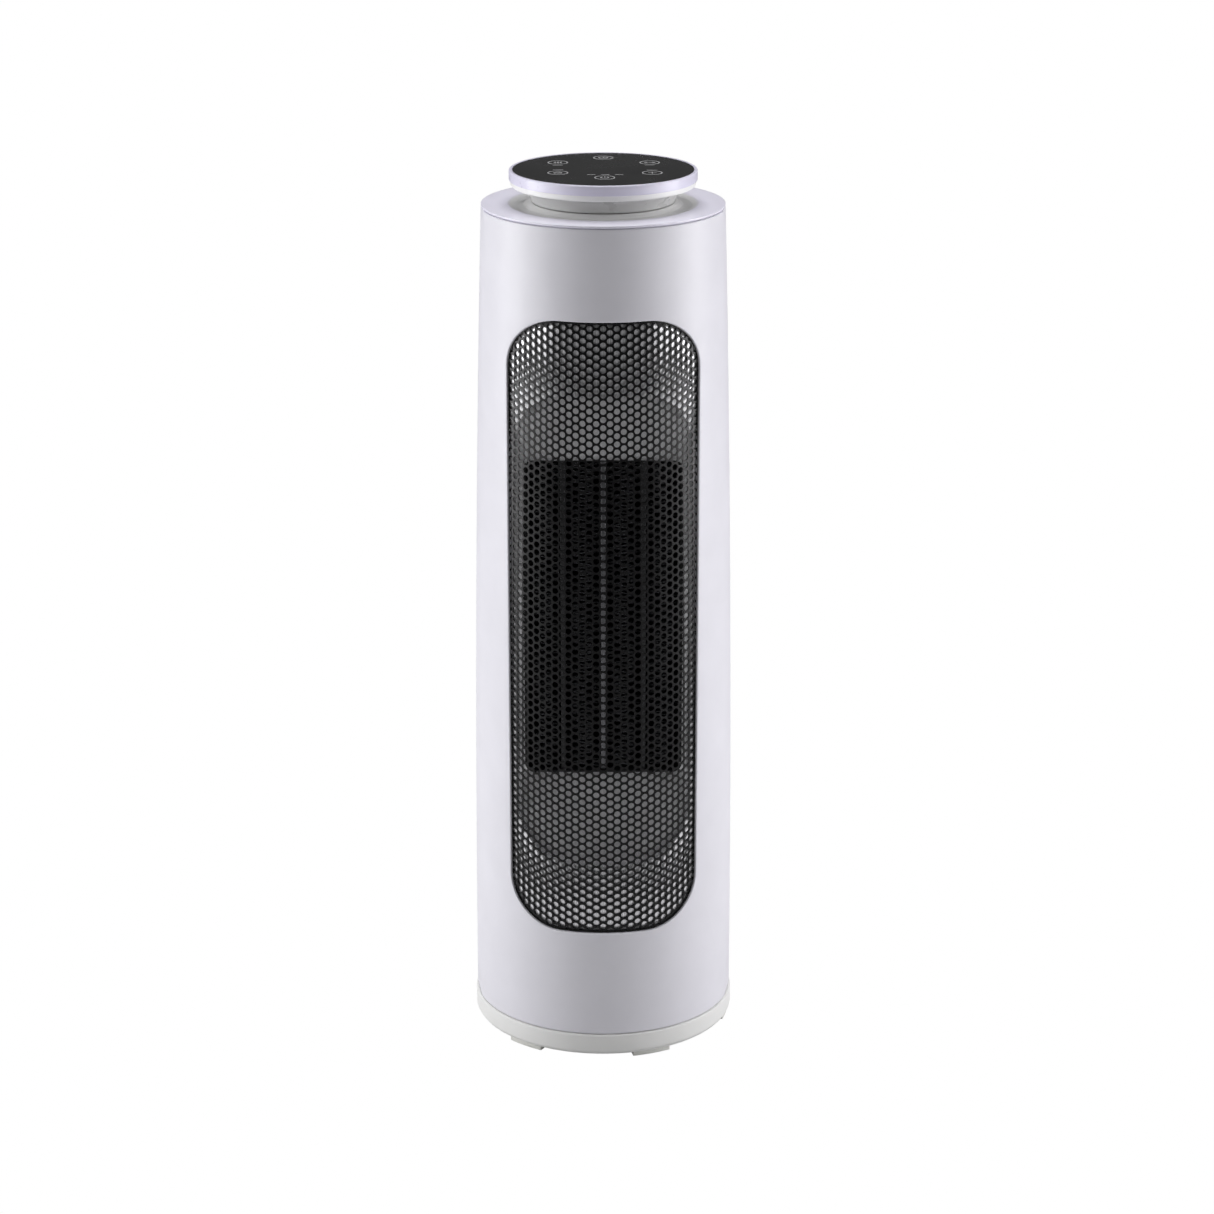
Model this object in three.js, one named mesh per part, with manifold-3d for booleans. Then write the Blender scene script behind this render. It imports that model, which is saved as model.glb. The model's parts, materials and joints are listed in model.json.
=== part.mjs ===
// Ceramic tower fan heater: a tapered round tower that swings on a fixed base, with a perforated
// outlet grille at the front, a lift-out intake cover at the rear and a round touch panel on a neck.
// Millimetres, +Z up. The origin is on the floor under the tower's axis and the outlet faces -Y.
import * as THREE from "three";
import { mergeVertices } from "three/addons/utils/BufferGeometryUtils.js";
import Module from "manifold-3d";

const wasm = await Module();
wasm.setup();

// ---------------------------------------------------------------- driving dimensions
const GAP = 0.3; // clearance between neighbouring pieces
const SIDES = 28; // facets round a full turn of the big round pieces
const SMALL_SIDES = 12; // facets of screws, bores and pins

// Base
const FOOT_HEIGHT = 2.5;
const FOOT_COUNT = 6;
const FOOT_ARC = 18; // degrees of the rim that one foot takes
const FOOT_TURN = -8; // degrees that the ring of feet is turned about the axis
const BASE_RADIUS = 85.8;
const BASE_BOTTOM = 2.8;
const BASE_TOP = 16.8;
const DECK_TOP = 13.6;
const DECK_THICKNESS = 2;
const HUB_RADIUS = 20;
const HUB_BORE = 14;
const HUB_TOP = 24;
const COVER_THICKNESS = 2;
const COVER_BOTTOM = 3.2;
const BASE_SCREW_RADIUS = 60; // distance of the base screws from the axis
const INLET_HEIGHT = 8.2; // height of the cord inlet's centre
const CORD_BORE = 3.3; // radius of the cord inlet's bore
const PLUNGER = { x: 30, y: 40, radius: 4, travel: 3.2 };

// Tower
const TOWER_BOTTOM = 17.4;
const TOWER_TOP = 548.8;
const TOWER_RADIUS = 85; // at the foot of the tower
const BELLY_RADIUS = 17600; // radius of the long arc that the wall follows
const WALL = 2.4;
const OPENING = { half: 60.2, low: 88.6, high: 491.4, corner: 32.5 };
const POCKET = { half: 54.5, low: 134, high: 443, corner: 32 };
const INTAKE = { half: 42, low: 190, high: 450, corner: 14 };
const SLOTS = { columns: 9, pitch: 7.6, width: 4.4, end: 14, bridge: 8 };
const BOSS = { x: 70, radius: 4.4, heights: [45, 520] };

// Outlet grille and the duct liner behind it, as depths below the tower's surface
const RIM_WIDTH = 1.6;
const RIM_RECESS = 1.3;
const SHEET_RECESS = 1.8;
const SHEET_THICKNESS = 1.2;
const GRILLE_BACK = 3.8;
const LINER_EDGE = 4.2;
const LINER_FACE = 5.6;
const LINER_WALL = 1.6;
const LIP = 0.6; // how far the funnel's edge stands proud of the liner's face
const STEP = { inwards: 1, share: 0.4 }; // steep first part of the funnel's wall

// Heater block
const HEATER = { half: 52, low: 185.5, high: 399.5, front: -51, back: -32.8, rail: 3.4 };
const BAR_SPACING = 25.7;
const BAR_WIDTH = 3;
const FIN_DEPTH = 12;
const FIN_FOLDS = 24;
const FIN_THICKNESS = 0.6;

// Blower
const WHEEL = { y: 24, radius: 30, low: 189, high: 398, blades: 16 };
const PLATE_THICKNESS = 1.6;
const SCROLL_THICKNESS = 1.6;
const SHAFT_RADIUS = 3;
const MOTOR = { radius: 27, low: 150, high: 180, wall: 1.6 };

// Oscillation drive: the pinion rolls round a gear that is fixed to the base
const GEAR_MODULE = 1.6;
const FIXED_TEETH = 32;
const PINION_TEETH = 12;
const GEAR_LOW = 13.9;
const GEAR_HIGH = 16.9;
const GEAR_DISTANCE = (GEAR_MODULE * (FIXED_TEETH + PINION_TEETH)) / 2;
const BACKLASH = 0.35;

// Top
const CAP_RADIUS = 76.9;
const CAP_TOP = 550.9;
const NECK_RADIUS = 45.1;
const PANEL_RADIUS = 59.2;
const PANEL_BOTTOM = 562;
const GLASS_RADIUS = 56.8;
const TOTAL_HEIGHT = 572.1;

// Power board, on four posts of the rear shell
const BOARD = { half: 38, y: 30, low: 460, high: 534, postX: 30, postInset: 8 };
const RELAY = { x: 17, z: 482, width: 19, height: 16, depth: 15 };

// Main switch at the rear
const SWITCH = { z: 62, width: 17, height: 25, face: 85.2, pivot: 79.5, tilt: 8 };

// ---------------------------------------------------------------- materials
const material = (color, roughness, metalness = 0) =>
  new THREE.MeshStandardMaterial({ color, roughness, metalness });
const SHELL_WHITE = material(0xe6e4ee, 0.35);
const IVORY = material(0xe9e9e2, 0.45);
const BLACK_GRILLE = material(0x17171a, 0.4);
const SILVER_LINER = material(0xa9a9ad, 0.35, 0.3);
const BLACK_FRAME = material(0x0c0c0e, 0.6);
const DARK_FINS = material(0x2a2a2e, 0.45, 0.8);
const ALUMINIUM = material(0xb4b6ba, 0.35, 1);
const STEEL = material(0x9a9ca0, 0.3, 1);
const GLASS_BLACK = material(0x1c1c1e, 0.12);
const GREY_PLASTIC = material(0x5f6368, 0.55);
const WHITE_NYLON = material(0xf1efe6, 0.5);
const BOARD_GREEN = material(0x1d5a36, 0.5);
const RELAY_BLACK = material(0x1a1b20, 0.5);
const FILTER_GREY = material(0x3b3d40, 0.9);

// ---------------------------------------------------------------- solids
const solidOf = (geometry) => {
  const bare = geometry.index ? geometry.toNonIndexed() : geometry.clone();
  bare.deleteAttribute("normal");
  bare.deleteAttribute("uv");
  const merged = mergeVertices(bare, 1e-3);
  const vertProperties = merged.attributes.position.array;
  const triVerts = new Uint32Array(merged.index.array);
  return new wasm.Manifold(new wasm.Mesh({ numProp: 3, vertProperties, triVerts }));
};

// Edges shorter than SLIVER that booleans leave behind are collapsed.
const SLIVER = 0.02;

const geometryOf = (solid) => {
  const mesh = solid.simplify(SLIVER).getMesh();
  const position = new THREE.BufferAttribute(new Float32Array(mesh.vertProperties), 3);
  const geometry = new THREE.BufferGeometry().setAttribute("position", position);
  return geometry.setIndex(new THREE.BufferAttribute(new Uint32Array(mesh.triVerts), 1));
};

const join = (...solids) => solids.reduce((all, next) => all.add(next));
const cut = (solid, ...tools) => tools.reduce((rest, tool) => rest.subtract(tool), solid);

// A box between two corners.
const box = ([x0, y0, z0], [x1, y1, z1]) => {
  const geometry = new THREE.BoxGeometry(x1 - x0, y1 - y0, z1 - z0);
  return solidOf(geometry.translate((x0 + x1) / 2, (y0 + y1) / 2, (z0 + z1) / 2));
};

// A solid turned about the Z axis at (x, y). The profile is a list of [radius, z] that runs
// up the outside; it starts and ends on the axis, or it is closed here.
const turned = (profile, sides = SIDES, x = 0, y = 0) => {
  const points = profile.map(([r, z]) => new THREE.Vector2(r, z));
  const onAxis = profile[0][0] === 0 && profile.at(-1)[0] === 0;
  if (!onAxis) points.push(points[0].clone());
  const geometry = new THREE.LatheGeometry(points, sides).rotateX(Math.PI / 2);
  return solidOf(geometry.translate(x, y, 0));
};

const rod = (radius, low, high, x = 0, y = 0, sides = SMALL_SIDES) =>
  turned([[0, low], [radius, low], [radius, high], [0, high]], sides, x, y);

const tube = (inner, outer, low, high, x = 0, y = 0, sides = SMALL_SIDES) =>
  turned([[inner, low], [outer, low], [outer, high], [inner, high]], sides, x, y);

// The same turned solids lying along Y: the profile's second number is y.
const turnedAlongY = (profile, x, z, sides = SMALL_SIDES) => {
  const points = profile.map(([r, y]) => new THREE.Vector2(r, y));
  const onAxis = profile[0][0] === 0 && profile.at(-1)[0] === 0;
  if (!onAxis) points.push(points[0].clone());
  return solidOf(new THREE.LatheGeometry(points, sides).translate(x, 0, z));
};

const rodAlongY = (radius, from, to, x, z) =>
  turnedAlongY([[0, from], [radius, from], [radius, to], [0, to]], x, z);

// A plan outline, a list of [x, y], extruded from low to high along Z.
const extruded = (outline, low, high) => {
  const shape = new THREE.Shape(outline.map(([x, y]) => new THREE.Vector2(x, y)));
  const geometry = new THREE.ExtrudeGeometry(shape, { depth: high - low, bevelEnabled: false });
  return solidOf(geometry.translate(0, 0, low));
};

// A rounded rectangle seen from the front, with its corners as arcs.
const roundedRectangle = ({ half, low, high, corner }, grow = 0) => {
  const right = half + grow;
  const bottom = low - grow;
  const top = high + grow;
  const r = corner + grow;
  const quarter = Math.PI / 2;
  return new THREE.Shape()
    .moveTo(right, bottom + r)
    .lineTo(right, top - r)
    .absarc(right - r, top - r, r, 0, quarter, false)
    .lineTo(-right + r, top)
    .absarc(-right + r, top - r, r, quarter, 2 * quarter, false)
    .lineTo(-right, bottom + r)
    .absarc(-right + r, bottom + r, r, 2 * quarter, 3 * quarter, false)
    .lineTo(right - r, bottom)
    .absarc(right - r, bottom + r, r, 3 * quarter, 4 * quarter, false);
};

// A front outline run along Y from yLow to yHigh.
const frontPrism = (outline, yLow, yHigh, grow = 0, curveSegments = 3) => {
  const shape = roundedRectangle(outline, grow);
  const options = { depth: yHigh - yLow, bevelEnabled: false, curveSegments };
  const geometry = new THREE.ExtrudeGeometry(shape, options).rotateX(Math.PI / 2);
  return solidOf(geometry.translate(0, yHigh, 0));
};

// A wall of even thickness that follows a plan path of [x, y] points.
const wallAlong = (path, thickness, low, high) => {
  const side = (sign) =>
    path.map(([x, y], i) => {
      const [ax, ay] = path[Math.max(i - 1, 0)];
      const [bx, by] = path[Math.min(i + 1, path.length - 1)];
      const length = Math.hypot(bx - ax, by - ay);
      const offset = (sign * thickness) / 2 / length;
      return [x - (by - ay) * offset, y + (bx - ax) * offset];
    });
  return extruded([...side(-1), ...side(1).reverse()], low, high);
};

// ---------------------------------------------------------------- the tower's shape
const bellyRadius = (z) => TOWER_RADIUS - (z - TOWER_BOTTOM) ** 2 / (2 * BELLY_RADIUS);

// The wall is straight between a few stations, so that every inset of it stays parallel.
const STATION_COUNT = 4;
const STATION_STEP = (TOWER_TOP - TOWER_BOTTOM) / STATION_COUNT;
const stationHeight = (i) => TOWER_BOTTOM + i * STATION_STEP;

const towerRadius = (z, inset = 0) => {
  const step = Math.floor((z - TOWER_BOTTOM) / STATION_STEP);
  const i = THREE.MathUtils.clamp(step, 0, STATION_COUNT - 1);
  const t = (z - stationHeight(i)) / STATION_STEP;
  const [below, above] = [bellyRadius(stationHeight(i)), bellyRadius(stationHeight(i + 1))];
  return THREE.MathUtils.lerp(below, above, t) - inset;
};

// Everything inside the tower's surface, less an inset.
const towerCore = (inset, low = TOWER_BOTTOM, high = TOWER_TOP) => {
  const stations = Array.from({ length: STATION_COUNT + 1 }, (_, i) => stationHeight(i));
  const between = stations.filter((z) => z > low && z < high);
  const wall = [low, ...between, high].map((z) => [towerRadius(z, inset), z]);
  return turned([[0, low], ...wall, [0, high]]);
};

const towerSkin = (outerInset, innerInset, low, high) =>
  cut(towerCore(outerInset, low, high), towerCore(innerInset, low - 1, high + 1));

const FAR = 120;
const frontHalf = () => box([-FAR, -FAR, 0], [FAR, -GAP / 2, 600]);
const rearHalf = () => box([-FAR, GAP / 2, 0], [FAR, FAR, 600]);

// ---------------------------------------------------------------- base
const baseScrewPlaces = [90, 210, 330].map((degrees) => {
  const angle = THREE.MathUtils.degToRad(degrees);
  return [BASE_SCREW_RADIUS * Math.sin(angle), -BASE_SCREW_RADIUS * Math.cos(angle)];
});

const footAngles = Array.from({ length: FOOT_COUNT }, (_, i) => {
  const step = 360 / FOOT_COUNT;
  return THREE.MathUtils.degToRad(FOOT_TURN + step * (i + 0.5));
});
const FOOT_INNER = 72;
const FOOT_OUTER = 84;
const STUD = { distance: 76.5, radius: 2.5, top: 6.6 };
const studPlace = (angle) => [STUD.distance * Math.sin(angle), -STUD.distance * Math.cos(angle)];

function baseHousing() {
  const deckBottom = DECK_TOP - DECK_THICKNESS;
  const innerWall = 83;
  const body = turned([
    [innerWall, BASE_BOTTOM],
    [84.4, BASE_BOTTOM],
    [BASE_RADIUS, 5],
    [BASE_RADIUS, BASE_TOP - 1.2],
    [84.8, BASE_TOP],
    [82.4, BASE_TOP],
    [82, DECK_TOP],
    [HUB_RADIUS, DECK_TOP],
    [HUB_RADIUS, HUB_TOP],
    [HUB_BORE, HUB_TOP],
    [HUB_BORE, deckBottom],
    [innerWall, deckBottom],
  ]);
  const bossBottom = COVER_BOTTOM + COVER_THICKNESS + GAP;
  const bosses = baseScrewPlaces.map(([x, y]) => rod(4, bossBottom, DECK_TOP - 1, x, y));
  const pilots = baseScrewPlaces.map(([x, y]) => rod(1.9, 0, DECK_TOP - 1.2, x, y));
  const inletHole = rodAlongY(4.7, 76, 90, 0, INLET_HEIGHT);
  const inletRecess = rodAlongY(5.3, 84, 90, 0, INLET_HEIGHT);
  return cut(join(body, ...bosses), ...pilots, inletHole, inletRecess);
}

function baseBottomCover() {
  const top = COVER_BOTTOM + COVER_THICKNESS;
  const disc = rod(82.6, COVER_BOTTOM, top, 0, 0, SIDES);
  const screwHoles = baseScrewPlaces.map(([x, y]) => rod(2, 0, 10, x, y));
  const studHoles = footAngles.map((angle) => rod(STUD.radius + GAP, 0, 10, ...studPlace(angle)));
  const plungerHole = rod(PLUNGER.radius + GAP, 0, 10, PLUNGER.x, PLUNGER.y);
  const inletNotch = box([-5, 76, 0], [5, 90, 10]);
  return cut(disc, ...screwHoles, ...studHoles, plungerHole, inletNotch);
}

function foot(angle) {
  const half = THREE.MathUtils.degToRad(FOOT_ARC / 2);
  const steps = 2;
  const arc = (radius, direction) =>
    Array.from({ length: steps + 1 }, (_, i) => {
      const a = angle + direction * half * ((2 * i) / steps - 1);
      return [radius * Math.sin(a), -radius * Math.cos(a)];
    });
  const pad = extruded([...arc(FOOT_OUTER, 1), ...arc(FOOT_INNER, -1)], 0, FOOT_HEIGHT);
  return join(pad, rod(STUD.radius, 1, STUD.top, ...studPlace(angle)));
}

function baseScrew([x, y]) {
  const head = [[0, 1.4], [2.6, 1.4], [3.4, 2], [3.4, COVER_BOTTOM - 0.2]];
  const shank = [[1.6, COVER_BOTTOM - 0.2], [1.6, 11.4], [0, 12]];
  return turned([...head, ...shank], SMALL_SIDES, x, y);
}

function cordInletGrommet() {
  const profile = [
    [CORD_BORE, 78],
    [4.4, 78],
    [4.4, 84.3],
    [5, 84.3],
    [5, 85.3],
    [4.6, 85.6],
    [CORD_BORE, 85.6],
  ];
  return turnedAlongY(profile, 0, INLET_HEIGHT);
}

function tipSwitch() {
  const { x, y } = PLUNGER;
  const low = COVER_BOTTOM + COVER_THICKNESS + GAP;
  const body = box([x + 8, y - 6, low], [x + 14.4, y + 14, low + 5.4]);
  const lever = box([x - 4, y - 2, low + 4.9], [x + 9, y + 2, low + 5.4]);
  return join(body, lever);
}

function tipSwitchPlunger() {
  const collarLow = COVER_BOTTOM + COVER_THICKNESS + PLUNGER.travel + 0.2;
  const profile = [
    [0, 0.2],
    [PLUNGER.radius - 0.6, 0.2],
    [PLUNGER.radius, 0.8],
    [PLUNGER.radius, collarLow],
    [6, collarLow],
    [6, collarLow + 1],
    [0, collarLow + 1],
  ];
  return turned(profile, SMALL_SIDES, PLUNGER.x, PLUNGER.y);
}

const slideRing = () => tube(56, 62, DECK_TOP + GAP, 17.1, 0, 0, SIDES);

function turntableRetainingRing() {
  const flangeLow = HUB_TOP + GAP;
  const flangeHigh = flangeLow + 2;
  return turned([
    [11.6, 18],
    [HUB_BORE - GAP, 18],
    [HUB_BORE - GAP, flangeLow],
    [27, flangeLow],
    [27, flangeHigh],
    [11.6, flangeHigh],
  ]);
}

// ---------------------------------------------------------------- oscillation drive
// Plan outline of an involute spur gear whose first tooth points at the angle `first`.
function gearOutline(teeth, first, addendum = 0.85, dedendum = 1.25) {
  const pressure = THREE.MathUtils.degToRad(20);
  const pitch = (GEAR_MODULE * teeth) / 2;
  const base = pitch * Math.cos(pressure);
  const tip = pitch + GEAR_MODULE * addendum;
  const root = pitch - GEAR_MODULE * dedendum;
  const involute = (angle) => Math.tan(angle) - angle;
  const halfTooth = Math.PI / (2 * teeth) - BACKLASH / 2 / pitch + involute(pressure);
  const flank = [pitch, tip].map((radius) => [
    radius,
    halfTooth - involute(Math.acos(base / radius)),
  ]);
  const rising = [[root, halfTooth], ...flank];
  const outline = [];
  for (let i = 0; i < teeth; i += 1) {
    const centre = first + (i * 2 * Math.PI) / teeth;
    const left = rising.map(([r, a]) => [r, centre - a]);
    const right = rising.map(([r, a]) => [r, centre + a]).reverse();
    outline.push(...left, ...right);
  }
  return outline.map(([r, a]) => [r * Math.cos(a), r * Math.sin(a)]);
}

function oscillationFixedGear() {
  const towardsPinion = Math.PI / 2;
  const blank = extruded(gearOutline(FIXED_TEETH, towardsPinion), GEAR_LOW, GEAR_HIGH);
  return cut(blank, rod(HUB_RADIUS + GAP, 0, 30, 0, 0, SIDES));
}

function oscillationPinion() {
  const gapTowardsGear = -Math.PI / 2 + Math.PI / PINION_TEETH;
  const outline = gearOutline(PINION_TEETH, gapTowardsGear);
  const placed = outline.map(([x, y]) => [x, y + GEAR_DISTANCE]);
  const shaft = rod(2.5, GEAR_LOW, 30, 0, GEAR_DISTANCE);
  return join(extruded(placed, GEAR_LOW, GEAR_HIGH), shaft);
}

function oscillationMotor() {
  const low = 20.2;
  const centre = GEAR_DISTANCE + 8;
  const can = rod(14, low, low + 19, 0, centre, 24);
  const ears = box([-21, centre - 3.5, low], [21, centre + 3.5, low + 1]);
  const bore = rod(2.5 + GAP, 0, 30.5, 0, GEAR_DISTANCE);
  const terminals = box([-7, centre + 12, low + 2], [7, centre + 18, low + 17]);
  return cut(join(can, ears, terminals), bore);
}

function turntablePlate() {
  const low = TOWER_BOTTOM + 0.1;
  const plate = turned([
    [HUB_RADIUS + 0.6, low],
    [81.6, low],
    [81.6, 26],
    [79.6, 26],
    [79.6, low + 2.2],
    [24, low + 2.2],
    [24, HUB_TOP - 0.1],
    [HUB_RADIUS + 0.6, HUB_TOP - 0.1],
  ]);
  return cut(plate, rod(5.2, 0, 30, 0, GEAR_DISTANCE));
}

// ---------------------------------------------------------------- tower shells
const bossPlaces = BOSS.heights.flatMap((z) => [[-BOSS.x, z], [BOSS.x, z]]);

function frontShell() {
  const skin = towerSkin(0, WALL, TOWER_BOTTOM, TOWER_TOP).intersect(frontHalf());
  const inside = towerCore(1);
  const bosses = bossPlaces.map(([x, z]) =>
    rodAlongY(BOSS.radius, -FAR, -GAP / 2, x, z).intersect(inside),
  );
  const pilots = bossPlaces.map(([x, z]) => rodAlongY(2, -16, 1, x, z));
  const opening = frontPrism(OPENING, -FAR, -30);
  return cut(join(skin, ...bosses), opening, ...pilots);
}

const boardPosts = [BOARD.low + BOARD.postInset, BOARD.high - BOARD.postInset].flatMap((z) => [
  [-BOARD.postX, z],
  [BOARD.postX, z],
]);

function rearShell() {
  const skin = towerSkin(0, WALL, TOWER_BOTTOM, TOWER_TOP).intersect(rearHalf());
  const inside = towerCore(1);
  const bosses = bossPlaces.map(([x, z]) =>
    rodAlongY(BOSS.radius + 0.4, GAP / 2, FAR, x, z).intersect(inside),
  );
  const wells = bossPlaces.map(([x, z]) => rodAlongY(3.6, 12, FAR, x, z));
  const holes = bossPlaces.map(([x, z]) => rodAlongY(2, -1, 13, x, z));
  const ledgeBand = towerSkin(WALL - 0.1, 5, INTAKE.low - 6, INTAKE.high + 6);
  const ledge = cut(
    ledgeBand.intersect(frontPrism(INTAKE, 30, FAR, 4)),
    frontPrism(INTAKE, 30, FAR, -4),
  );
  const intake = frontPrism(INTAKE, 30, FAR);
  const switchHole = box(
    [-SWITCH.width / 2 - GAP, 70, SWITCH.z - SWITCH.height / 2 - GAP],
    [SWITCH.width / 2 + GAP, FAR, SWITCH.z + SWITCH.height / 2 + GAP],
  );
  const posts = boardPosts.map(([x, z]) =>
    rodAlongY(3, BOARD.y + 1.6 + GAP, FAR, x, z).intersect(inside),
  );
  const solids = join(cut(skin, intake), ledge, ...bosses, ...posts);
  return cut(solids, ...wells, ...holes, switchHole);
}

function shellScrew([x, z]) {
  const head = 12 + GAP;
  const profile = [[0, -14], [1.7, -13], [1.7, head], [3.3, head], [3.3, head + 1.6]];
  return turnedAlongY([...profile, [2.4, head + 2.4], [0, head + 2.4]], x, z);
}

// ---------------------------------------------------------------- outlet
function frontGrille() {
  const outer = frontPrism(OPENING, -FAR, -30, -GAP);
  const inner = frontPrism(OPENING, -FAR - 1, -29, -GAP - RIM_WIDTH);
  const low = OPENING.low - 6;
  const high = OPENING.high + 6;
  const rim = cut(towerSkin(RIM_RECESS, GRILLE_BACK, low, high).intersect(outer), inner);
  const sheetBack = SHEET_RECESS + SHEET_THICKNESS;
  const sheet = towerSkin(SHEET_RECESS, sheetBack, low, high).intersect(outer);
  return join(rim, sheet);
}

// A tube that runs from an outline on the liner's face back to the heater's outline. Its wall
// drops steeply at first, by a share of the whole depth, and slopes inwards from there.
function funnel() {
  const target = { half: 50.5, low: 188, high: 397, corner: 6 };
  const back = HEATER.front - 0.4;
  const pointsPerCorner = 3;
  const loop = (outline, grow, depth) =>
    outlinePoints(outline, grow, pointsPerCorner).map(([x, z]) => [x, depth(x, z), z]);
  const face = (x, z) => -Math.sqrt(towerRadius(z, LINER_FACE - LIP) ** 2 - x * x);
  const step = (x, z) => THREE.MathUtils.lerp(face(x, z), back, STEP.share);
  const loops = [
    loop(POCKET, 0, face),
    loop(POCKET, LINER_WALL, face),
    loop(POCKET, LINER_WALL - STEP.inwards, step),
    loop(target, LINER_WALL, () => back),
    loop(target, 0, () => back),
    loop(POCKET, -STEP.inwards, step),
  ];
  const count = loops[0].length;
  const index = [];
  for (let ring = 0; ring < loops.length; ring += 1) {
    const next = (ring + 1) % loops.length;
    for (let i = 0; i < count; i += 1) {
      const j = (i + 1) % count;
      const [a, b] = [ring * count + i, ring * count + j];
      const [c, d] = [next * count + i, next * count + j];
      index.push(a, c, b, b, c, d);
    }
  }
  const position = new THREE.Float32BufferAttribute(loops.flat(2), 3);
  const geometry = new THREE.BufferGeometry().setAttribute("position", position);
  return solidOf(geometry.setIndex(index));
}

// The same number of points for any rounded rectangle, so that two of them can be joined up.
function outlinePoints({ half, low, high, corner }, grow, perCorner) {
  const r = corner + grow;
  const [right, bottom, top] = [half + grow, low - grow, high + grow];
  const centres = [
    [right - r, top - r],
    [-right + r, top - r],
    [-right + r, bottom + r],
    [right - r, bottom + r],
  ];
  return centres.flatMap(([x, z], quadrant) =>
    Array.from({ length: perCorner + 1 }, (_, i) => {
      const angle = ((quadrant + i / perCorner) * Math.PI) / 2;
      return [x + r * Math.cos(angle), z + r * Math.sin(angle)];
    }),
  );
}

function outletDuctLiner() {
  const low = OPENING.low - 6;
  const high = OPENING.high + 6;
  const block = frontPrism(OPENING, -FAR, -30, -0.6).intersect(towerCore(LINER_EDGE, low, high));
  const hollow = cut(frontPrism(OPENING, -FAR - 1, -29, -0.6 - LINER_WALL),
    towerCore(LINER_FACE, low, high));
  const behind = towerCore(LINER_FACE + LINER_WALL, low - 1, high + 1);
  const tray = cut(block, hollow, behind, frontPrism(POCKET, -FAR - 1, -29, 0.8));
  return join(tray, funnel());
}

// ---------------------------------------------------------------- heater block
function heaterFrame() {
  const { half, low, high, front, back, rail } = HEATER;
  const outer = box([-half, front, low], [half, back, high]);
  const window = box([-half + rail, front - 1, low + rail], [half - rail, back + 1, high - rail]);
  return cut(outer, window);
}

const finFront = HEATER.front + 3;
const heaterLow = HEATER.low + HEATER.rail + GAP;
const heaterHigh = HEATER.high - HEATER.rail - GAP;

const ptcBar = (x) =>
  box([x - BAR_WIDTH / 2, finFront - 0.8, heaterLow],
    [x + BAR_WIDTH / 2, finFront + FIN_DEPTH + 0.8, heaterHigh]);

// A corrugated strip folded between two upright sides.
function heaterFins(left, right) {
  const from = heaterLow + 1;
  const fold = (heaterHigh - 1 - from) / FIN_FOLDS;
  const half = FIN_THICKNESS / 2;
  const slab = (i) => {
    const [start, finish] = i % 2 ? [right, left] : [left, right];
    const z = from + fold * i;
    const outline = [
      [start, z - half],
      [finish, z + fold - half],
      [finish, z + fold + half],
      [start, z + half],
    ];
    const shape = new THREE.Shape(outline.map(([x, y]) => new THREE.Vector2(x, y)));
    const geometry = new THREE.ExtrudeGeometry(shape, { depth: FIN_DEPTH, bevelEnabled: false });
    return solidOf(geometry.rotateX(Math.PI / 2).translate(0, finFront + FIN_DEPTH, 0));
  };
  return join(...Array.from({ length: FIN_FOLDS }, (_, i) => slab(i)));
}

const barEdge = BAR_WIDTH / 2 + GAP;
const finSpans = [
  [-HEATER.half + HEATER.rail + GAP, -BAR_SPACING - barEdge],
  [-BAR_SPACING + barEdge, -barEdge],
  [barEdge, BAR_SPACING - barEdge],
  [BAR_SPACING + barEdge, HEATER.half - HEATER.rail - GAP],
];

function thermalCutoff() {
  const low = HEATER.high + GAP;
  const y = (HEATER.front + HEATER.back) / 2;
  const can = [[0, low], [8, low], [8, low + 3], [6.4, low + 3], [6.4, low + 6.5], [0, low + 6.5]];
  const tabs = box([-12, y - 3, low], [12, y + 3, low + 0.8]);
  return join(turned(can, SMALL_SIDES, 0, y), tabs);
}

// ---------------------------------------------------------------- blower
const casingLow = WHEEL.low - 3;
const casingHigh = WHEEL.high + 3;
const ductHalf = 49.5;
const ductBack = HEATER.back + 0.4;

// The scroll opens out from a narrow gap at the rear to the full width of the outlet.
function blowerScroll() {
  const narrow = { angle: 75, radius: WHEEL.radius + 3.5 };
  const wide = { angle: -34.5, radius: 60 };
  const steps = 10;
  const spiral = Array.from({ length: steps + 1 }, (_, i) => {
    const t = i / steps;
    const angle = THREE.MathUtils.degToRad(narrow.angle + (wide.angle - narrow.angle) * t);
    const radius = narrow.radius + (wide.radius - narrow.radius) * t * t;
    return [radius * Math.cos(angle), WHEEL.y + radius * Math.sin(angle)];
  });
  const path = [[2, 61], ...spiral, [ductHalf, ductBack]];
  return wallAlong(path, SCROLL_THICKNESS, casingLow + GAP, casingHigh - GAP);
}

function blowerTongue() {
  const tip = [-WHEEL.radius - 4, WHEEL.y - 8];
  const path = [[-ductHalf, ductBack], [-ductHalf, -14], [-46, -3], [-39, 6], tip];
  return wallAlong(path, SCROLL_THICKNESS, casingLow + GAP, casingHigh - GAP);
}

function blowerPlate(low, boreRadius) {
  const plate = box([-51, ductBack, low], [51, 56, low + PLATE_THICKNESS]);
  return cut(plate, rod(boreRadius, low - 1, low + 3, 0, WHEEL.y));
}

const blowerBottomPlate = () => blowerPlate(casingLow - PLATE_THICKNESS, 6);
const blowerTopPlate = () => blowerPlate(casingHigh, 7 + GAP);
const BEARING_BORE = 2.8;
const upperBearing = () => tube(BEARING_BORE, 7, casingHigh, casingHigh + 6, 0, WHEEL.y);

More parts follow.
